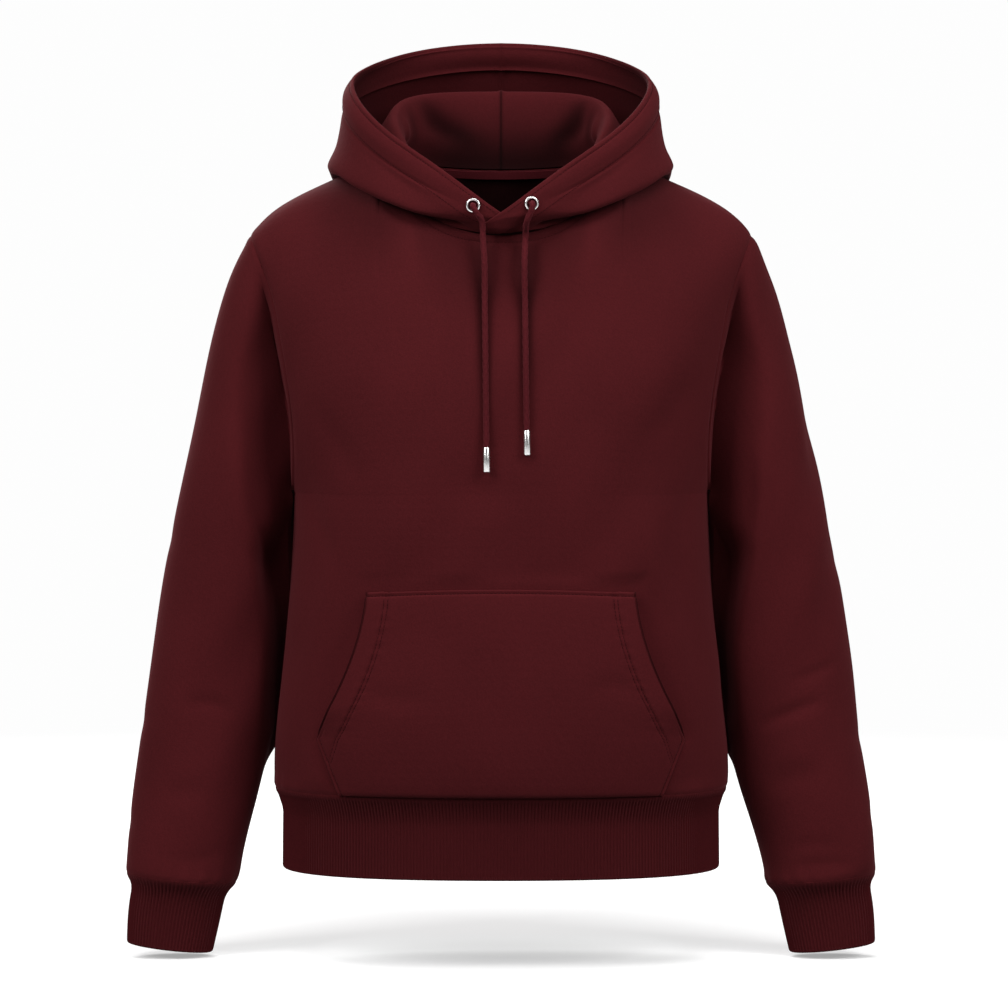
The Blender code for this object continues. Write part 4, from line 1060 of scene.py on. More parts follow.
def wall_mesh(name, outer, inner, run, material, tube):
    """A closed object from two grids of points: both faces and the rims between them. Its UV map holds
    the lengths across and along the cloth, in metres."""
    rows, columns = outer.shape[:2]
    corner = np.arange(rows * columns).reshape(rows, columns)
    u, v = run[1], run[0]
    if tube:
        corner = np.concatenate([corner, corner[:, :1]], axis=1)
        closing = np.linalg.norm(outer[:, -1] - outer[:, 0], axis=-1)[:, None]
        u = np.concatenate([u, u[:, -1:] + closing], axis=1)
        v = np.concatenate([v, v[:, :1]], axis=1)
    places = np.stack([u, v], axis=-1).reshape(-1, 2) * METRES
    grid = np.arange(corner.size).reshape(corner.shape)
    skin = np.stack([grid[:-1, :-1], grid[:-1, 1:], grid[1:, 1:], grid[1:, :-1]], -1).reshape(-1, 4)
    lines = [grid[0], grid[-1, ::-1]]
    if not tube:
        lines += [grid[::-1, 0], grid[:, -1]]
    rims = [np.stack([line[1:], line[:-1], line[:-1], line[1:]], -1) for line in lines]
    on_inner = [np.zeros_like(skin), np.ones_like(skin)]
    on_inner += [np.tile([0, 0, 1, 1], (len(one), 1)) for one in rims]
    corners = np.concatenate([skin, skin[:, ::-1], *rims])
    faces = corner.reshape(-1)[corners] + np.concatenate(on_inner) * rows * columns
    vertices = np.concatenate([outer.reshape(-1, 3), inner.reshape(-1, 3)])
    return mesh_object(name, vertices, faces, material, 60, places[corners])


def mesh_object(name, vertices, faces, material, sharp, uv=None):
    """A mesh object with its faces outward, smooth but for edges over `sharp` degrees."""
    a, b, c = (vertices[faces[:, i]] for i in range(3))
    volume = np.einsum("ij,ij->i", a, np.cross(b, c)).sum()
    if faces.shape[1] == 4:
        d = vertices[faces[:, 3]]
        volume += np.einsum("ij,ij->i", a, np.cross(c, d)).sum()
    if volume < 0:
        faces = faces[:, ::-1]
        uv = uv if uv is None else uv[:, ::-1]
    mesh = bpy.data.meshes.new(name)
    mesh.from_pydata((vertices * METRES).tolist(), [], faces.tolist())
    if uv is not None:
        layer = mesh.uv_layers.new(name="cloth")
        layer.uv.foreach_set("vector", np.ascontiguousarray(uv, np.float32).reshape(-1))
    mesh.shade_smooth()
    mesh.set_sharp_from_angle(angle=np.radians(sharp))
    mesh.materials.append(material)
    obj = bpy.data.objects.new(name, mesh)
    bpy.context.scene.collection.objects.link(obj)
    return obj


def along_line(at, run, line):
    """A line of points read at these lengths along it."""
    return np.stack([np.interp(at, run, line[:, i]) for i in range(3)], -1)


def stitches(name, lines, material):
    """Threads along lines of (points, normals): short beads, pointed at both ends and half sunk."""
    share = np.array([-1.0, -0.72, 0.72, 1.0]) * STITCH_LENGTH / 2
    radius = np.array([0.35, 1.0, 1.0, 0.35]) * STITCH_RADIUS
    angle = np.pi * np.arange(6) / 3
    vertices, faces = [], []
    for line, normal in lines:
        run = arc(line[None], 1)[0]
        count = int(run[-1] / STITCH_PITCH)
        at = (np.arange(count) + 0.5) * run[-1] / count
        place, ahead = along_line(at, run, line), along_line(at + 0.6, run, line)
        up = unit(along_line(at, run, normal))
        along = unit(ahead - place + 1e-9)
        side = unit(np.cross(along, up))
        ring = (
            place[:, None, None]
            + along[:, None, None] * share[None, :, None, None]
            + (side[:, None, None] * np.cos(angle)[:, None] + up[:, None, None] * np.sin(angle)[:, None])
            * radius[None, :, None, None]
            + up[:, None, None] * 0.05
        )
        index = np.arange(count * 24).reshape(count, 4, 6) + sum(len(v) for v in vertices)
        turned = np.roll(index, -1, axis=2)
        sides = np.stack([index[:, :-1], turned[:, :-1], turned[:, 1:], index[:, 1:]], -1)
        caps = [index[:, end][:, pick] for end in (0, 3) for pick in ([0, 1, 2, 3], [0, 3, 4, 5])]
        caps = [cap if k > 1 else cap[:, ::-1] for k, cap in enumerate(caps)]
        vertices.append(ring.reshape(-1, 3))
        faces.append(np.concatenate([sides.reshape(-1, 4), *caps]))
    return mesh_object(name, np.concatenate(vertices), np.concatenate(faces), material, 80)


# ---------------------------------------------------------------- eyelets and cords


def eyelet_place(side):
    """The point of the hood's outer face under an eyelet's middle, and the normal there."""
    sign = 1.0 if side == "left" else -1.0
    degrees = np.linspace(2.0, HOOD_SHOULDER_FROM, 113)
    rows = 20  # between one ring and the next
    surface = hood(sign, degrees, np.linspace(0, len(HOOD), rows * len(HOOD) + 1))
    normal = unit(np.cross(np.gradient(surface, axis=1), np.gradient(surface, axis=0)))
    normal *= -np.sign(normal[..., 1:2].sum())
    inset = np.linalg.norm(surface - surface[-1:], axis=-1)
    miss = np.hypot(inset - EYELET_INSET, surface[..., 0] - EYELET_X[side])
    miss[: -3 * rows] += 1000.0  # the eyelet is in the last three
    r, c = np.unravel_index(np.argmin(miss), miss.shape)
    return surface[r, c], normal[r, c]


def cord_route(side, place, normal):
    """The cord's own points: up out of the eyelet, over its rim and the hood's lower roll, and down the
    chest."""
    chest = []
    for x, height, off in CORDS[side]:
        chest.append(np.array([x, foremost(x, height) - CORD_DIAMETER / 2 - off, height]))
    onward = chest[0] - place
    onward = unit(onward - normal * (onward @ normal))
    bend = [place + onward * along + normal * out for along, out in CORD_BEND]
    return np.array(bend + chest)


def foremost(x, height):
    """The outer face of the front, or of a hood half where that is further forward."""
    if height > YOKE:
        middle = torso_panel(-1, **COARSE)
        middle = middle[:, middle.shape[1] // 2]
        face = np.interp(height, middle[:, 2], middle[:, 1])
    else:
        face = front_y(np.float64(x), np.float64(height))
    for side in (-1.0, 1.0):
        surface = hood(side, np.linspace(HOOD_ANGLES[0], 30.0, 73), LIFT[1])
        near = np.hypot(surface[..., 0] - x, surface[..., 2] - height) < 4.0
        face = min(face, surface[near][:, 1].min(initial=0.0))
    return float(face)


def cord_path(route, step):
    """A smooth curve through the route, read about every step."""
    knots = np.concatenate([[0.0], np.cumsum(np.linalg.norm(np.diff(route, axis=0), axis=1))])
    return spline(np.linspace(0, knots[-1], round(knots[-1] / step) + 1), knots, route)


def braided_tube(name, path, material):
    """A round braid: a tube along the path whose radius swells over two sets of crossing strands. The
    swell is the larger of two waves that wind round the cord in opposite ways."""
    count = CORD_SEGMENTS
    along = unit(np.gradient(path, axis=0))
    side = unit(np.cross(along, [0.0, 1.0, 0.0]))
    up = np.cross(side, along)
    run = arc(path[None], 1)[0][:, None]
    angle = (2 * np.pi * np.arange(count) / count)[None, :]
    one = np.cos(BRAID_STRANDS * angle + 2 * np.pi * run / BRAID_PITCH)
    other = np.cos(BRAID_STRANDS * angle - 2 * np.pi * run / BRAID_PITCH)
    radius = CORD_DIAMETER / 2 - BRAID_DEPTH * (1 - np.maximum(one, other)) / 2
    grid = (
        path[:, None]
        + side[:, None] * (radius * np.cos(angle))[..., None]
        + up[:, None] * (radius * np.sin(angle))[..., None]
    )
    index = np.arange(grid[..., 0].size).reshape(grid.shape[:2])
    turned = np.roll(index, -1, axis=1)
    tube = np.stack([index[:-1], turned[:-1], turned[1:], index[1:]], -1).reshape(-1, 4)
    ends = [len(path) * count, len(path) * count + 1]
    caps = [
        np.stack([np.full(count, end), turned[row], index[row], index[row]], -1)[:, :3]
        for end, row in zip(ends, (0, -1))
    ]
    caps[1] = caps[1][:, ::-1]
    vertices = np.concatenate([grid.reshape(-1, 3), path[[0, -1]]])
    faces = np.concatenate([tube[:, [0, 1, 2]], tube[:, [0, 2, 3]], *caps])
    return mesh_object(name, vertices, faces, material, 80)


def turned(name, profile, segments, place, axis, material, sharp=40):
    """A solid turned about an axis through place, from a closed (radius, along) profile. A profile
    point on the axis becomes one vertex."""
    angle = 2 * np.pi * np.arange(segments) / segments
    vertices = []
    loops = []
    for radius, along in profile:
        count = segments if radius > 0 else 1
        loops.append(np.arange(count) + len(vertices) + np.zeros(segments, int) * (count == 1))
        vertices += [(radius * np.cos(a), radius * np.sin(a), along) for a in angle[:count]]
    faces = []
    for here, there in zip(loops, loops[1:] + loops[:1]):
        quads = np.stack([here, np.roll(here, -1), np.roll(there, -1), there], axis=-1)
        for a, b, c, d in quads:
            faces += [face for face in ((a, b, c), (a, c, d)) if len(set(face)) == 3]
    turn = np.array(Vector((0, 0, 1)).rotation_difference(Vector(axis)).to_matrix())
    return mesh_object(name, np.array(vertices) @ turn.T + place, np.array(faces), material, sharp)


# ---------------------------------------------------------------- materials


def socket(group, name, way, kind, value=None):
    """A socket on the outside of a node group."""
    made = group.interface.new_socket(name=name, in_out=way, socket_type="NodeSocket" + kind)
    if value is not None:
        made.default_value = value


def add(tree, kind, links=(), **settings):
    """A new node, with its settings, its plain input values and its links: (input, from node, output)."""
    node = tree.nodes.new(kind)
    for name, value in settings.items():
        if name.startswith("in_"):
            key = name[3:].replace("_", " ")
            node.inputs[int(key) if key.isdigit() else key].default_value = value
        else:
            setattr(node, name, value)
    for target, source, output in links:
        tree.links.new(source.outputs[output], node.inputs[target])
    return node


def maths(tree, operation, *terms):
    """A sum or product as (node, output). Each term is a number or such a pair."""
    node = tree.nodes.new("ShaderNodeMath")
    node.operation = operation
    for k, term in enumerate(terms):
        if isinstance(term, tuple):
            tree.links.new(term[0].outputs[term[1]], node.inputs[k])
        else:
            node.inputs[k].default_value = term
    return node, "Value"


def cloth_group():
    """Colour and height of a brushed cloth: a broad mottle and a fine grain of fibres, both solid noise,
    and the knit's loops, a product of two waves along the cloth's own lengths."""
    group = bpy.data.node_groups.new("brushed knit", "ShaderNodeTree")
    socket(group, "Colour", "INPUT", "Color")
    socket(group, "Mottle", "INPUT", "Float", 0.1)
    socket(group, "Grain", "INPUT", "Float", 0.2)
    socket(group, "Colour", "OUTPUT", "Color")
    socket(group, "Height", "OUTPUT", "Float")
    given = group.nodes.new("NodeGroupInput")
    out = group.nodes.new("NodeGroupOutput")
    place = [("Vector", add(group, "ShaderNodeTexCoord"), "Object")]
    on_cloth = [("Vector", add(group, "ShaderNodeUVMap", uv_map="cloth"), "UV")]
    mottle, fibres = (
        (add(group, "ShaderNodeTexNoise", place, in_Scale=scale, in_Detail=3.0), "Fac")
        for scale in (MOTTLE_SCALE, FIBRE_SCALE)
    )
    waves = [
        (add(
            group, "ShaderNodeTexWave", on_cloth, bands_direction=direction,
            in_Scale=loops / 20, in_Distortion=0.6, in_Detail_Scale=3.0,
        ), "Fac")
        for direction, loops in LOOPS_PER_METRE.items()
    ]
    swings = [
        maths(group, "MULTIPLY", maths(group, "SUBTRACT", noise, 0.5), (given, amount))
        for noise, amount in ((mottle, "Mottle"), (fibres, "Grain"))
    ]
    level = maths(group, "MULTIPLY_ADD", maths(group, "ADD", *swings), 2.0, 1.0)
    # Painted shade: each piece's 'shade' attribute darkens its colour.
    dark = (add(group, "ShaderNodeAttribute", attribute_name="shade"), "Fac")
    level = maths(group, "MULTIPLY", level, maths(group, "SUBTRACT", 1.0, dark))
    tone = add(
        group, "ShaderNodeVectorMath", [(0, given, "Colour"), ("Scale", *level)], operation="SCALE"
    )
    height, _ = maths(group, "MULTIPLY_ADD", maths(group, "MULTIPLY", *waves), LOOP_SHARE, fibres)
    group.links.new(tone.outputs[0], out.inputs["Colour"])
    group.links.new(height.outputs[0], out.inputs["Height"])
    return group


def shaded(name, **values):
    """A new material, its tree and its shader, with these values on the shader's own sockets."""
    material = bpy.data.materials.new(name)
    material.use_nodes = True
    shader = material.node_tree.nodes["Principled BSDF"]
    for key, value in values.items():
        shader.inputs[key.replace("_", " ")].default_value = value
    return material, material.node_tree, shader


def cloth_material(name, colour, group, mottle=0.14, grain=0.24, bump=0.35, depth=0.0004, sheen=0.07):
    """Matte cloth: the knit's colour and relief on a rough shader with a soft sheen."""
    material, tree, shader = shaded(
        name, Roughness=0.95, Specular_IOR_Level=0.06,
        Sheen_Weight=sheen, Sheen_Roughness=0.45, Sheen_Tint=FUZZ,
    )
    knit = add(tree, "ShaderNodeGroup", node_tree=group)
    for key, value in (("Colour", colour), ("Mottle", mottle), ("Grain", grain)):
        knit.inputs[key].default_value = value
    relief = add(tree, "ShaderNodeBump", [("Height", knit, "Height")], in_Strength=bump, in_Distance=depth)
    tree.links.new(knit.outputs["Colour"], shader.inputs["Base Color"])
    tree.links.new(relief.outputs["Normal"], shader.inputs["Normal"])
    return material


def metal_material():
    """Polished metal with faint turning marks and finger-worn patches of another gloss."""
    material, tree, shader = shaded("polished trim", Base_Color=SILVER, Metallic=1.0)
    place = add(tree, "ShaderNodeTexCoord")
    wear = add(tree, "ShaderNodeTexNoise", [("Vector", place, "Object")], in_Scale=260.0, in_Detail=4.0)
    gloss = add(tree, "ShaderNodeMapRange", [("Value", wear, "Fac")], in_To_Min=0.16, in_To_Max=0.34)
    marks = add(tree, "ShaderNodeBump", [("Height", wear, "Fac")], in_Strength=0.08, in_Distance=0.0002)
    tree.links.new(gloss.outputs["Result"], shader.inputs["Roughness"])
    tree.links.new(marks.outputs["Normal"], shader.inputs["Normal"])
    return material


def floor_material():
    """A pale floor: it glows evenly and takes soft shadows, and further out it turns into the backdrop's
    own glow."""
    material, tree, shader = shaded(
        "pale floor", Base_Color=(*[FLOOR_TONE] * 3, 1.0), Roughness=1.0, Specular_IOR_Level=0.0,
        Emission_Color=(1.0, 1.0, 1.0, 1.0), Emission_Strength=FLOOR_GLOW,
    )
    place = add(tree, "ShaderNodeTexCoord")
    away = add(tree, "ShaderNodeVectorMath", [(0, place, "Object")], operation="MULTIPLY", in_1=(1, 1, 0))
    far = add(tree, "ShaderNodeVectorMath", [(0, away, "Vector")], operation="LENGTH")
    fade = add(
        tree, "ShaderNodeMapRange", [("Value", far, "Value")],
        interpolation_type="SMOOTHSTEP", in_From_Min=FLOOR_FADE[0], in_From_Max=FLOOR_FADE[1],
    )
    glow = add(tree, "ShaderNodeEmission", in_Strength=BACKDROP_GLOW)
    mixed = [(0, fade, "Result"), (1, shader, "BSDF"), (2, glow, "Emission")]
    both = add(tree, "ShaderNodeMixShader", mixed)
    tree.links.new(both.outputs[0], tree.nodes["Material Output"].inputs["Surface"])
    return material


def darker(colour, share):
    """The colour at this share of its light."""
    return (*[part * share for part in colour[:3]], 1.0)


# ---------------------------------------------------------------- camera, light and floor


def aim(obj, target):
    """Turns a camera or a lamp to look at the target."""
    obj.rotation_euler = (Vector(target) - obj.location).to_track_quat("-Z", "Y").to_euler()


def stage():
    """Camera, soft light and a plain pale floor just under the cuffs."""
    scene = bpy.context.scene
    camera = bpy.data.objects.new("camera", bpy.data.cameras.new("camera"))
    scene.collection.objects.link(camera)
    camera.location = CAMERA_PLACE
    aim(camera, CAMERA_TARGET)
    camera.data.sensor_width = CAMERA_SENSOR
    camera.data.lens = CAMERA_SENSOR * -CAMERA_PLACE[1] / VIEW_WIDTH
    scene.camera = camera
    scene.view_settings.view_transform = "Standard"

    scene.world = studio_air()
    for name, place, target, size, power in LAMPS:
        data = bpy.data.lights.new(name, "AREA")
        data.shape = "RECTANGLE"
        data.size, data.size_y = size
        data.energy = power
        lamp = bpy.data.objects.new(name, data)
        lamp.location = place
        aim(lamp, target)
        scene.collection.objects.link(lamp)

    half, low = STAGE_HALF, CAD_BOX[0][2] - FLOOR_GAP
    mesh = bpy.data.meshes.new("floor")
    corners = [(-half, -half, low), (half, -half, low), (half, half, low), (-half, half, low)]
    mesh.from_pydata(corners, [], [(0, 1, 2, 3)])
    mesh.materials.append(floor_material())
    floor = bpy.data.objects.new("floor", mesh)
    floor.visible_diffuse = False
    scene.collection.objects.link(floor)


def studio_air():
    """Dim even light from all round, which the camera sees as a pale backdrop."""
    world = bpy.data.worlds.new("studio")
    world.use_nodes = True
    tree = world.node_tree
    dim = tree.nodes["Background"]
    dim.inputs["Color"].default_value = (*[AMBIENT] * 3, 1.0)
    pale = add(tree, "ShaderNodeBackground")
    pale.inputs["Color"].default_value = (*[BACKDROP_GLOW] * 3, 1.0)
    seen = add(tree, "ShaderNodeLightPath")
    both = add(
        tree, "ShaderNodeMixShader",
        [(0, seen, "Is Camera Ray"), (1, dim, "Background"), (2, pale, "Background")],
    )
    tree.links.new(both.outputs[0], tree.nodes["World Output"].inputs["Surface"])
    return world


# ---------------------------------------------------------------- the pieces


def fine_panels():
    """Both body panels on the same fine grid, the armpit's row, and how far up the armhole each of its
    points lies, counted in the solid's levels."""
    neck = np.linspace(0, 90, 43)
    steps = spread(0, 1, SHOULDER_STEP, near_end=np.array(NEAR_EDGE) / SHOULDER_RUN)
    low = spread(HEM_SEAM, ARMPIT, BODY_PITCH, near_start=NEAR_EDGE)
    quarter = np.linspace(0, np.pi / 2, 41)
    yoke = spread(0, 1, YOKE_STEP, near_end=np.array(NEAR_EDGE) / YOKE_RUN)
    panels = [torso_panel(side, neck, steps, low, quarter, yoke) for side in (-1, 1)]
    below = np.linspace(0, ARMHOLE_LEVELS, len(quarter))
    rising = np.concatenate([below, ARMHOLE_LEVELS + YOKE_LEVELS * yoke[1:]])
    return panels, len(low) - 1, rising


def armhole_ring(front, back, armpit, rising):
    """The left armhole as a closed ring that starts at the armpit and climbs the front, and the turn of
    each of its points."""
    ring = np.concatenate([front[armpit:, -1], back[-2:armpit:-1, -1]])
    top = ARMHOLE_LEVELS + YOKE_LEVELS
    at = np.concatenate([rising, 2 * top - rising[-2:0:-1]])
    return ring, np.pi * (1 - at / top)


def show(piece, slot, *nodes):
    """Fixes a piece to the garment's one body, in place of these solids."""
    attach(piece, "root")
    if nodes:
        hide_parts(*nodes)
    return piece


def sheet(piece, slot, node):
    """A cloth piece in place of its solid. Its cut's width, length and area are read from the table but not
    used.
    """
    show(piece, slot, node)
    width, length, area = CUTS[re.sub("_(left|right)$", "", node)]


def cords(braid, metal):
    """Eyelets, cords and their metal tips."""
    for side in ("left", "right"):
        place, normal = eyelet_place(side)
        middle = (EYELET_OUTER + EYELET_HOLE) / 2
        half = (EYELET_OUTER - EYELET_HOLE) / 2
        angle = np.linspace(0, np.pi, 13)
        rise = EYELET_HIGH - EYELET_RIM
        dome = [(middle + half * np.cos(a), EYELET_RIM + rise * np.sin(a)) for a in angle]
        profile = [(EYELET_HOLE, 0.0), (EYELET_OUTER, 0.0), *dome]
        lifted = place + normal * EYELET_LIFT
        ring = turned(f"{side}_eyelet_ring", profile, EYELET_SEGMENTS, lifted, normal, metal)
        show(ring, "metal", f"eyelet_{side}")

        route = cord_route(side, place, normal)
        path = cord_path(route, CORD_STEP)
        cord = braided_tube(f"{side}_drawcord_braid", path, braid)
        axis = unit(path[-1] - path[-2])
        r, high = AGLET_RADIUS, AGLET_LENGTH
        profile = (
            (0.0, 0.0), (r - 0.5, 0.0), (r - 0.15, 0.15), (r, 0.5), (r, high - 0.6),
            (r - 0.15, high - 0.2), (r - 0.5, high), (0.0, high),
        )
        top = path[-1] + axis * SEAM_GAP
        tip = turned(f"{side}_cord_tip", profile, AGLET_SEGMENTS, top, axis, metal, 50)
        show(tip, "metal", f"aglet_{side}")
        show(cord, "cord", f"drawcord_{side}")


def neck_inset(x):
    """How far from the neck seam the body's topstitching lies: further at the sides."""
    middle, more, side = NECK_STITCH
    return middle + more * ease(np.abs(x) / side)


def on_hood(rows):
    """Creases given in degrees and rings, with their places in millimetres along the cloth."""
    return [(amount, width, np.array(places) * HOOD_METRIC) for amount, width, places in rows]


def rib_columns(ring):
    """How many columns a tube round this ring needs, with four to a rib."""
    return 4 * round(arc(ring, 1)[0, -1] / RIB_PITCH)


def rib_band(name, band, seam_depth, material, node):
    """A ribbed tube: a wave round it with four columns to a rib, which fades at both edges."""
    cloth = Cloth(name, band, RIB, tube=True)
    wave = 0.5 * np.cos(np.pi * np.arange(band.shape[1]) / 2)[None, :]
    fade = ease(cloth.off("first_row") / 6) * ease(cloth.off("last_row") / 3)
    cloth.height += RIB_HEIGHT * wave * (0.25 + 0.75 * fade)
    cloth.seam("first_row", seam_depth, 4)
    cloth.fold("last_row")
    sheet(cloth.make(material), "rib", node)


def body(panels, fleece, painted_shade_inner):
    """The front and the back, as cloths by name."""
    cloths = {}
    for name, outer, creases in zip(("front", "back"), panels, (FRONT_CREASES, BACK_CREASES)):
        cloth = cloths[name] = Cloth(f"{name}_fleece", outer)
        x, z = outer[..., 0], outer[..., 2]
        front = name == "front"
        cloth.seam("first_row")
        cloth.seam("last_row")
        below = 1 - ease((z - ARMPIT + 20) / 40)
        for edge in ("first_column", "last_column"):
            cloth.seam(edge, (SEAM_DEPTH - below) * closed_armpit(z))
        inside = cloth.inside(16, *EDGES)
        if front:
            clear = ease((np.abs(x) - pocket_half_width(z) - 3) / 12)
            inside *= np.maximum(clear, ease((z - POCKET_TOP - 6) / 14))
        cloth.creases(x, z, creases, inside)
        cloth.swell(x, z, SWELL, inside)
        if front:
            beside = ease((POCKET_TOP - 2 - z) / 10) * bell(np.abs(x) - pocket_half_width(z), 4)
            cloth.height -= BESIDE_POCKET * beside
        cloth.gathers("first_row", *HEM_GATHERS)
        off_neck = cloth.off("last_row")
        on_neck = 1 - ease((np.abs(x[-1]) - NECK_GROOVE[0]) / NECK_GROOVE[1])
        cloth.groove(off_neck - neck_inset(x), NECK_GROOVE[2] * on_neck, 1.5)
        if front:
            dark, start, length = UNDER_HOOD
            cloth.shade = dark * (on_neck * (1 - ease((off_neck - start) / length)))
            cloth.shadows(x, z, CHEST_SHADOWS)
        sheet(cloth.make(fleece, painted_shade_inner), "fleece", f"{name}_body")
    return cloths


def sleeve_tube(panels, armpit, rising):
    """The left sleeve's grid, and the turn of each of its columns."""
    ring, turn = armhole_ring(*panels, armpit, rising)
    start, end = (np.array(NEAR_EDGE) / run for run in SLEEVE_RUN)
    steps = spread(0, 1, SLEEVE_STEP, near_start=start, near_end=end)
    return sleeve_behind(sleeve_hollow(sleeve(ring, turn, steps), panels[0][:, -1])), turn


def sleeves(tube, fleece, painted_shade_inner):
    """Both sleeves from one grid, mirrored, each with its own creases on its front, back and outer side."""
    for side, mirror in SIDES.items():
        cloth = Cloth(f"{side}_sleeve_fleece", tube * mirror, tube=True)
        cloth.seam("first_row", SEAM_DEPTH * closed_armpit(tube[..., 2]))
        cloth.seam("last_row")
        out, y, z = np.abs(cloth.outer[..., 0]), cloth.outer[..., 1], cloth.outer[..., 2]
        facing = cloth.normal * mirror
        inside = cloth.inside(14, "first_row", "last_row")
        on_front, on_back, on_side = SLEEVE_CREASES[side]
        cloth.creases(out, z, on_front, inside * ease(-2 * facing[..., 1]))
        cloth.creases(out, z, on_back, inside * ease(2 * facing[..., 1]))
        cloth.creases(y, z, on_side, inside * ease(2 * facing[..., 0]))
        cloth.swell(cloth.outer[..., 0] + y, z, SWELL, inside)
        cloth.gathers("last_row", *CUFF_GATHERS)
        cloth.shade = np.zeros(out.shape)
        cloth.shadows(out, z, BODY_SHADOW, ease((MIDDLE_Y + 40 - y) / 20))
        sheet(cloth.make(fleece, painted_shade_inner), "fleece", f"sleeve_{side}")


def cuffs(end, turn, rib):
    """Both cuffs, from the sleeve's end ring read at even turns."""
    even_turn = np.linspace(turn[0], turn[0] - 2 * np.pi, 721)[:-1]
    closed = np.concatenate([end, end[:, :1]], axis=1)
    end_turn = np.concatenate([turn, [turn[0] - 2 * np.pi]])
    at = np.interp(-even_turn, -end_turn, np.arange(len(end_turn)))
    downs = spread(0, CUFF[-1][0], CUFF_PITCH, near_start=NEAR_EDGE, near_end=FREE_EDGE)
    band = cuff(between_columns(closed, at)[0], downs)
    middle = len(band) // 2
    band = even_columns(band, middle, rib_columns(band[middle][None]))
    for side, mirror in SIDES.items():
        rib_band(f"{side}_cuff_rib", band * mirror, 1.2, rib, f"cuff_{side}")


def hem_band(rib):
    """The hem's rib: the ring of the body's lower edge, read at even columns and drawn in downwards."""
    level, height = np.linspace(-1, 1, 700), np.float64(HEM_SEAM)
    ring = np.concatenate([torso_level(level, height, -1), torso_level(-level, height, 1)[1:-1]])[None]
    downs = spread(0, HEM[-1][0], HEM_PITCH, near_start=NEAR_EDGE, near_end=FREE_EDGE)
    band = hem(even_columns(ring, 0, rib_columns(ring))[0], downs)
    rib_band("hem_band", band, 1.4, rib, "hem_rib")


def hood_halves(fleece, painted_shade_inner):
    """Both hood halves, as cloths by (hood, side)."""
    front, back = np.array(FREE_EDGE) / HOOD_RUN[0], np.array(NEAR_EDGE) / HOOD_RUN[1]
    degrees = spread(HOOD_ANGLES[0], 180, HOOD_STEP, front, back)
    gaps = [np.arange(n) / n + k for k, n in enumerate(HOOD_ROWS)]
    opening = len(HOOD) - np.array(FREE_EDGE) / OPENING_RUN
    rows = np.unique(np.concatenate([*gaps, [CASING_AT - CASING_RISE], opening]))
    down = rows[:, None]
    casing_row = np.searchsorted(rows, CASING_AT)
    full = ease((degrees - HOOD_ANGLES[0]) / CASING_FLAT_OVER)
    wall = FLEECE + (CASING - FLEECE) * (down >= CASING_AT) * full[None, :]
    cloths = {}
    for side, mirror in SIDES.items():
        cloth = cloths["hood", side] = Cloth(f"{side}_hood_fleece", hood(mirror[0], degrees, rows), wall)
        cloth.normal = hood_normal(cloth.outer)
        cloth.seam("first_row")
        cloth.seam("last_column", 1.6, 5)
        cloth.fold("last_row")
        cloth.fold("first_column")
        casing = cloth.run[0] - cloth.run[0][casing_row]
        lined = ease((degrees - OVERLAP_PLAIN[0]) / OVERLAP_PLAIN[1])
        cloth.groove(casing, 1.2 * lined, 1.5)
        cloth.groove(cloth.off("last_row") - RIM_STITCH, 0.8 * lined, 0.9)
        u = np.broadcast_to(degrees * HOOD_METRIC[0], cloth.height.shape)
        v = np.broadcast_to(down * HOOD_METRIC[1], cloth.height.shape)
        inside = cloth.inside(8, "first_row", "last_column") * ease(casing / -10) * lined
        cloth.creases(u, v, on_hood(HOOD_CREASES[side]), inside)
        cloth.swell(u, v, SWELL, inside * ease((down - 2.6) / 1.2))
        dark, gone, start, over = COLLAR_SHADE
        cloth.shade = dark * (1 - ease(down / gone)) * ease((degrees - start) / over)
        cloth.shadows(u, v, on_hood(COLLAR_SHADOWS[side]), 1 - ease((down - 1.6) / 0.4))
        cloth.shade = 1 - (1 - cloth.shade) * (1 - SEAM_SHADE * bell(cloth.off("last_column"), 1.4))
        start, over = TROUGH_RINGS
        deep = ease((down - start) / over) * TROUGH_SHADE
        deep = deep * (1 - ease((degrees - TROUGH_DEGREES[0]) / TROUGH_DEGREES[1]))
        cloth.inner_shade = np.where(down < start, cloth.shade, deep)
        sheet(cloth.make(fleece, painted_shade_inner, casing_row), "fleece", f"hood_{side}")
    return cloths


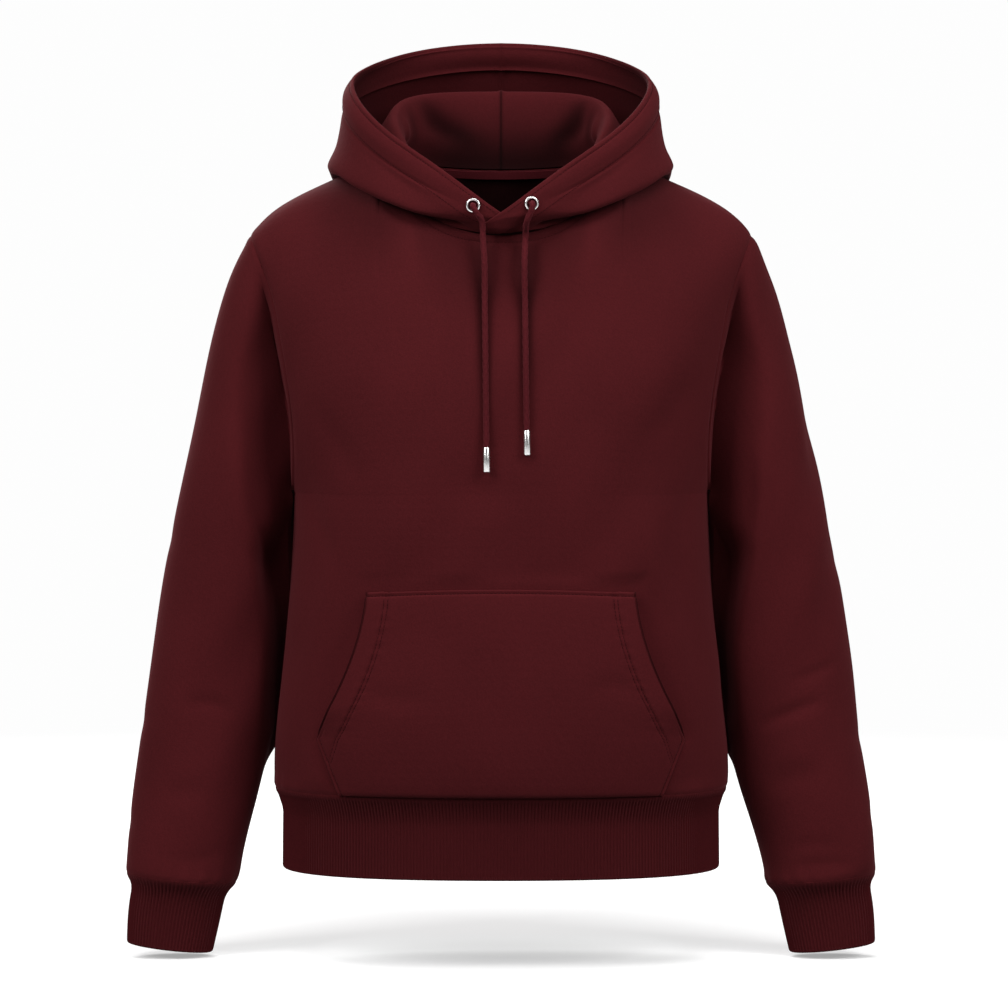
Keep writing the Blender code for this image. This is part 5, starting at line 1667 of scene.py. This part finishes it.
def pouch(fleece):
    """The pocket, folded at its top and mouths. Along each mouth the facing inside raises the cloth by
    a step, with small puckers beside it and grooves where the two lines of stitching run."""
    heights = spread(HEM_SEAM + 1.0, POCKET_TOP, POCKET_PITCH, near_start=NEAR_EDGE, near_end=FREE_EDGE)
    cloth = Cloth("pouch_pocket", pocket(heights, np.array(POCKET_INSETS)))
    open_side = ease((heights - POCKET_CORNER) / 12)[:, None]
    for edge in ("last_row", "first_column", "last_column"):
        cloth.fold(edge)
    cloth.groove(cloth.off("last_row") - POCKET_STITCH, 1.1, 1.0)
    for edge in ("first_column", "last_column"):
        off = cloth.off(edge)
        facing_ends = mouth_line(heights, MOUTH_STITCH[0])[:, None]
        cloth.height += open_side * (1 - ease((off - facing_ends + 1.5) / 3))
        pucker = np.sin(2 * np.pi * cloth.run[0] / 11.0 + 1.3 * np.sin(cloth.run[0] / 17.0))
        cloth.height += open_side * 0.3 * pucker * bell(off - facing_ends - 2, 6)
        for inset in MOUTH_STITCH:
            at = mouth_line(heights, inset)[:, None]
            slant = 0.9 * (heights < POCKET_CORNER)[:, None]
            cloth.groove(off - at, 0.8 * ease((at - POCKET_STITCH) / 2), 0.9 + slant)
        cloth.groove(off - POCKET_STITCH, 1.2 * (1 - open_side), 1.1)
        cloth.flare[edge] = (MOUTH_GAP * open_side + SEWN_GAP * (1 - open_side))[:, 0]
    cloth.shade = np.zeros(cloth.height.shape)
    # Painted shade on the inner face, seen as the dark strip beyond the edges.
    cloth.inner_shade = MOUTH_SHADE
    cloth.creases(cloth.outer[..., 0], cloth.outer[..., 2], POCKET_CREASES, cloth.inside(18, *EDGES))
    cloth.seam("first_row", 1.0, 5)
    sheet(cloth.make(fleece), "fleece", "kangaroo_pocket")
    return cloth


def neck_tape(back, material):
    """The band inside the back neck, made from the back's inner points."""
    face, normal = back.outer, back.normal
    middle = face.shape[1] // 2
    columns = slice(middle - 40, middle + 41)
    top = face[-1, columns]
    inward = -unit(normal[-1, columns])
    down = unit(face[-9, columns] - top)
    falls = np.linspace(TAPE_DROP - 1.4, TAPE_DROP - 1.4 + TAPE_HEIGHT, 9)[:, None, None]
    outer = top + down * falls + inward * (FLEECE + TAPE_OFF + 0.6)
    run = (arc(outer, 0), arc(outer, 1))
    return wall_mesh("nape_tape", outer, outer + inward * TAPE, run, material, False)


def stitch_lines(cloths, thread):
    """Topstitching, one piece of threads for each sewn piece."""
    pocket_cloth = cloths["pocket"]
    heights = pocket_cloth.outer[:, 0, 2]
    lines = [pocket_cloth.line("last_row", POCKET_STITCH)]
    for edge in ("first_column", "last_column"):
        for inset in MOUTH_STITCH:
            at = mouth_line(heights, inset)
            place, normal = pocket_cloth.line(edge, np.maximum(at, 0))
            sewn = (at > POCKET_STITCH + 0.8) & (heights < POCKET_TOP - POCKET_STITCH - 2)
            lines.append((place[sewn], normal[sewn]))
        place, normal = pocket_cloth.line(edge, POCKET_STITCH)
        low = heights < POCKET_CORNER + 3
        lines.append((place[low], normal[low]))
    show(stitches("pocket_stitches", lines, thread), "cord")

    for side in ("left", "right"):
        cloth = cloths["hood", side]
        lines = []
        for inset in (RIM_STITCH, CASING_STITCH):
            place, normal = cloth.line("last_row", inset)
            past = cloth.run[1][-1] > RIM_STITCHED_FROM
            lines.append((place[past], normal[past]))
        lines.append(cloth.line("last_column", HOOD_SEAM_STITCH))
        show(stitches(f"{side}_hood_stitches", lines, thread), "cord")
    for name in ("front", "back"):
        cloth = cloths[name]
        place, normal = cloth.line("last_row", neck_inset(cloth.outer[-1, :, 0]))
        near = np.abs(place[:, 0]) < NECK_HALF_WIDTH
        show(stitches(f"{name}_neck_stitches", [(place[near], normal[near])], thread), "cord")


def garment():
    """Every piece of the garment, one kind after the other."""
    knit = cloth_group()
    fleece = cloth_material("maroon fleece", MAROON, knit)
    # Painted shade: the hood's inner face below the casing is a slightly darker copy of the fleece.
    hood_painted_shade_inner = cloth_material("hood's inner face", darker(MAROON, 0.86), knit)
    # Painted shade: the inside of the body and sleeves is a far darker copy of the fleece, for the shade
    # inside the garment.
    painted_shade_inner = cloth_material("maroon inner face in painted shade", darker(MAROON, 0.16), knit)
    rib = cloth_material("maroon rib", MAROON_RIB, knit, grain=0.25)
    tape_cloth = cloth_material("maroon tape", MAROON_TAPE, knit)
    braid = cloth_material("maroon cord", MAROON_CORD, knit, grain=0.4, sheen=0.2)
    thread = cloth_material("maroon thread", MAROON_THREAD, knit, grain=0.3)
    cords(braid, metal_material())

    panels, armpit, rising = fine_panels()
    cloths = body(panels, fleece, painted_shade_inner)
    tube, turn = sleeve_tube(panels, armpit, rising)
    sleeves(tube, fleece, painted_shade_inner)
    cuffs(tube[-1:], turn, rib)
    hem_band(rib)
    cloths.update(hood_halves(fleece, hood_painted_shade_inner))
    cloths["pocket"] = pouch(fleece)
    sheet(neck_tape(cloths["back"], tape_cloth), "tape", "neck_tape")
    stitch_lines(cloths, thread)


for loose in ("Cube", "Light", "Camera"):
    if loose in bpy.data.objects:
        bpy.data.objects.remove(bpy.data.objects[loose])
stage()
garment()
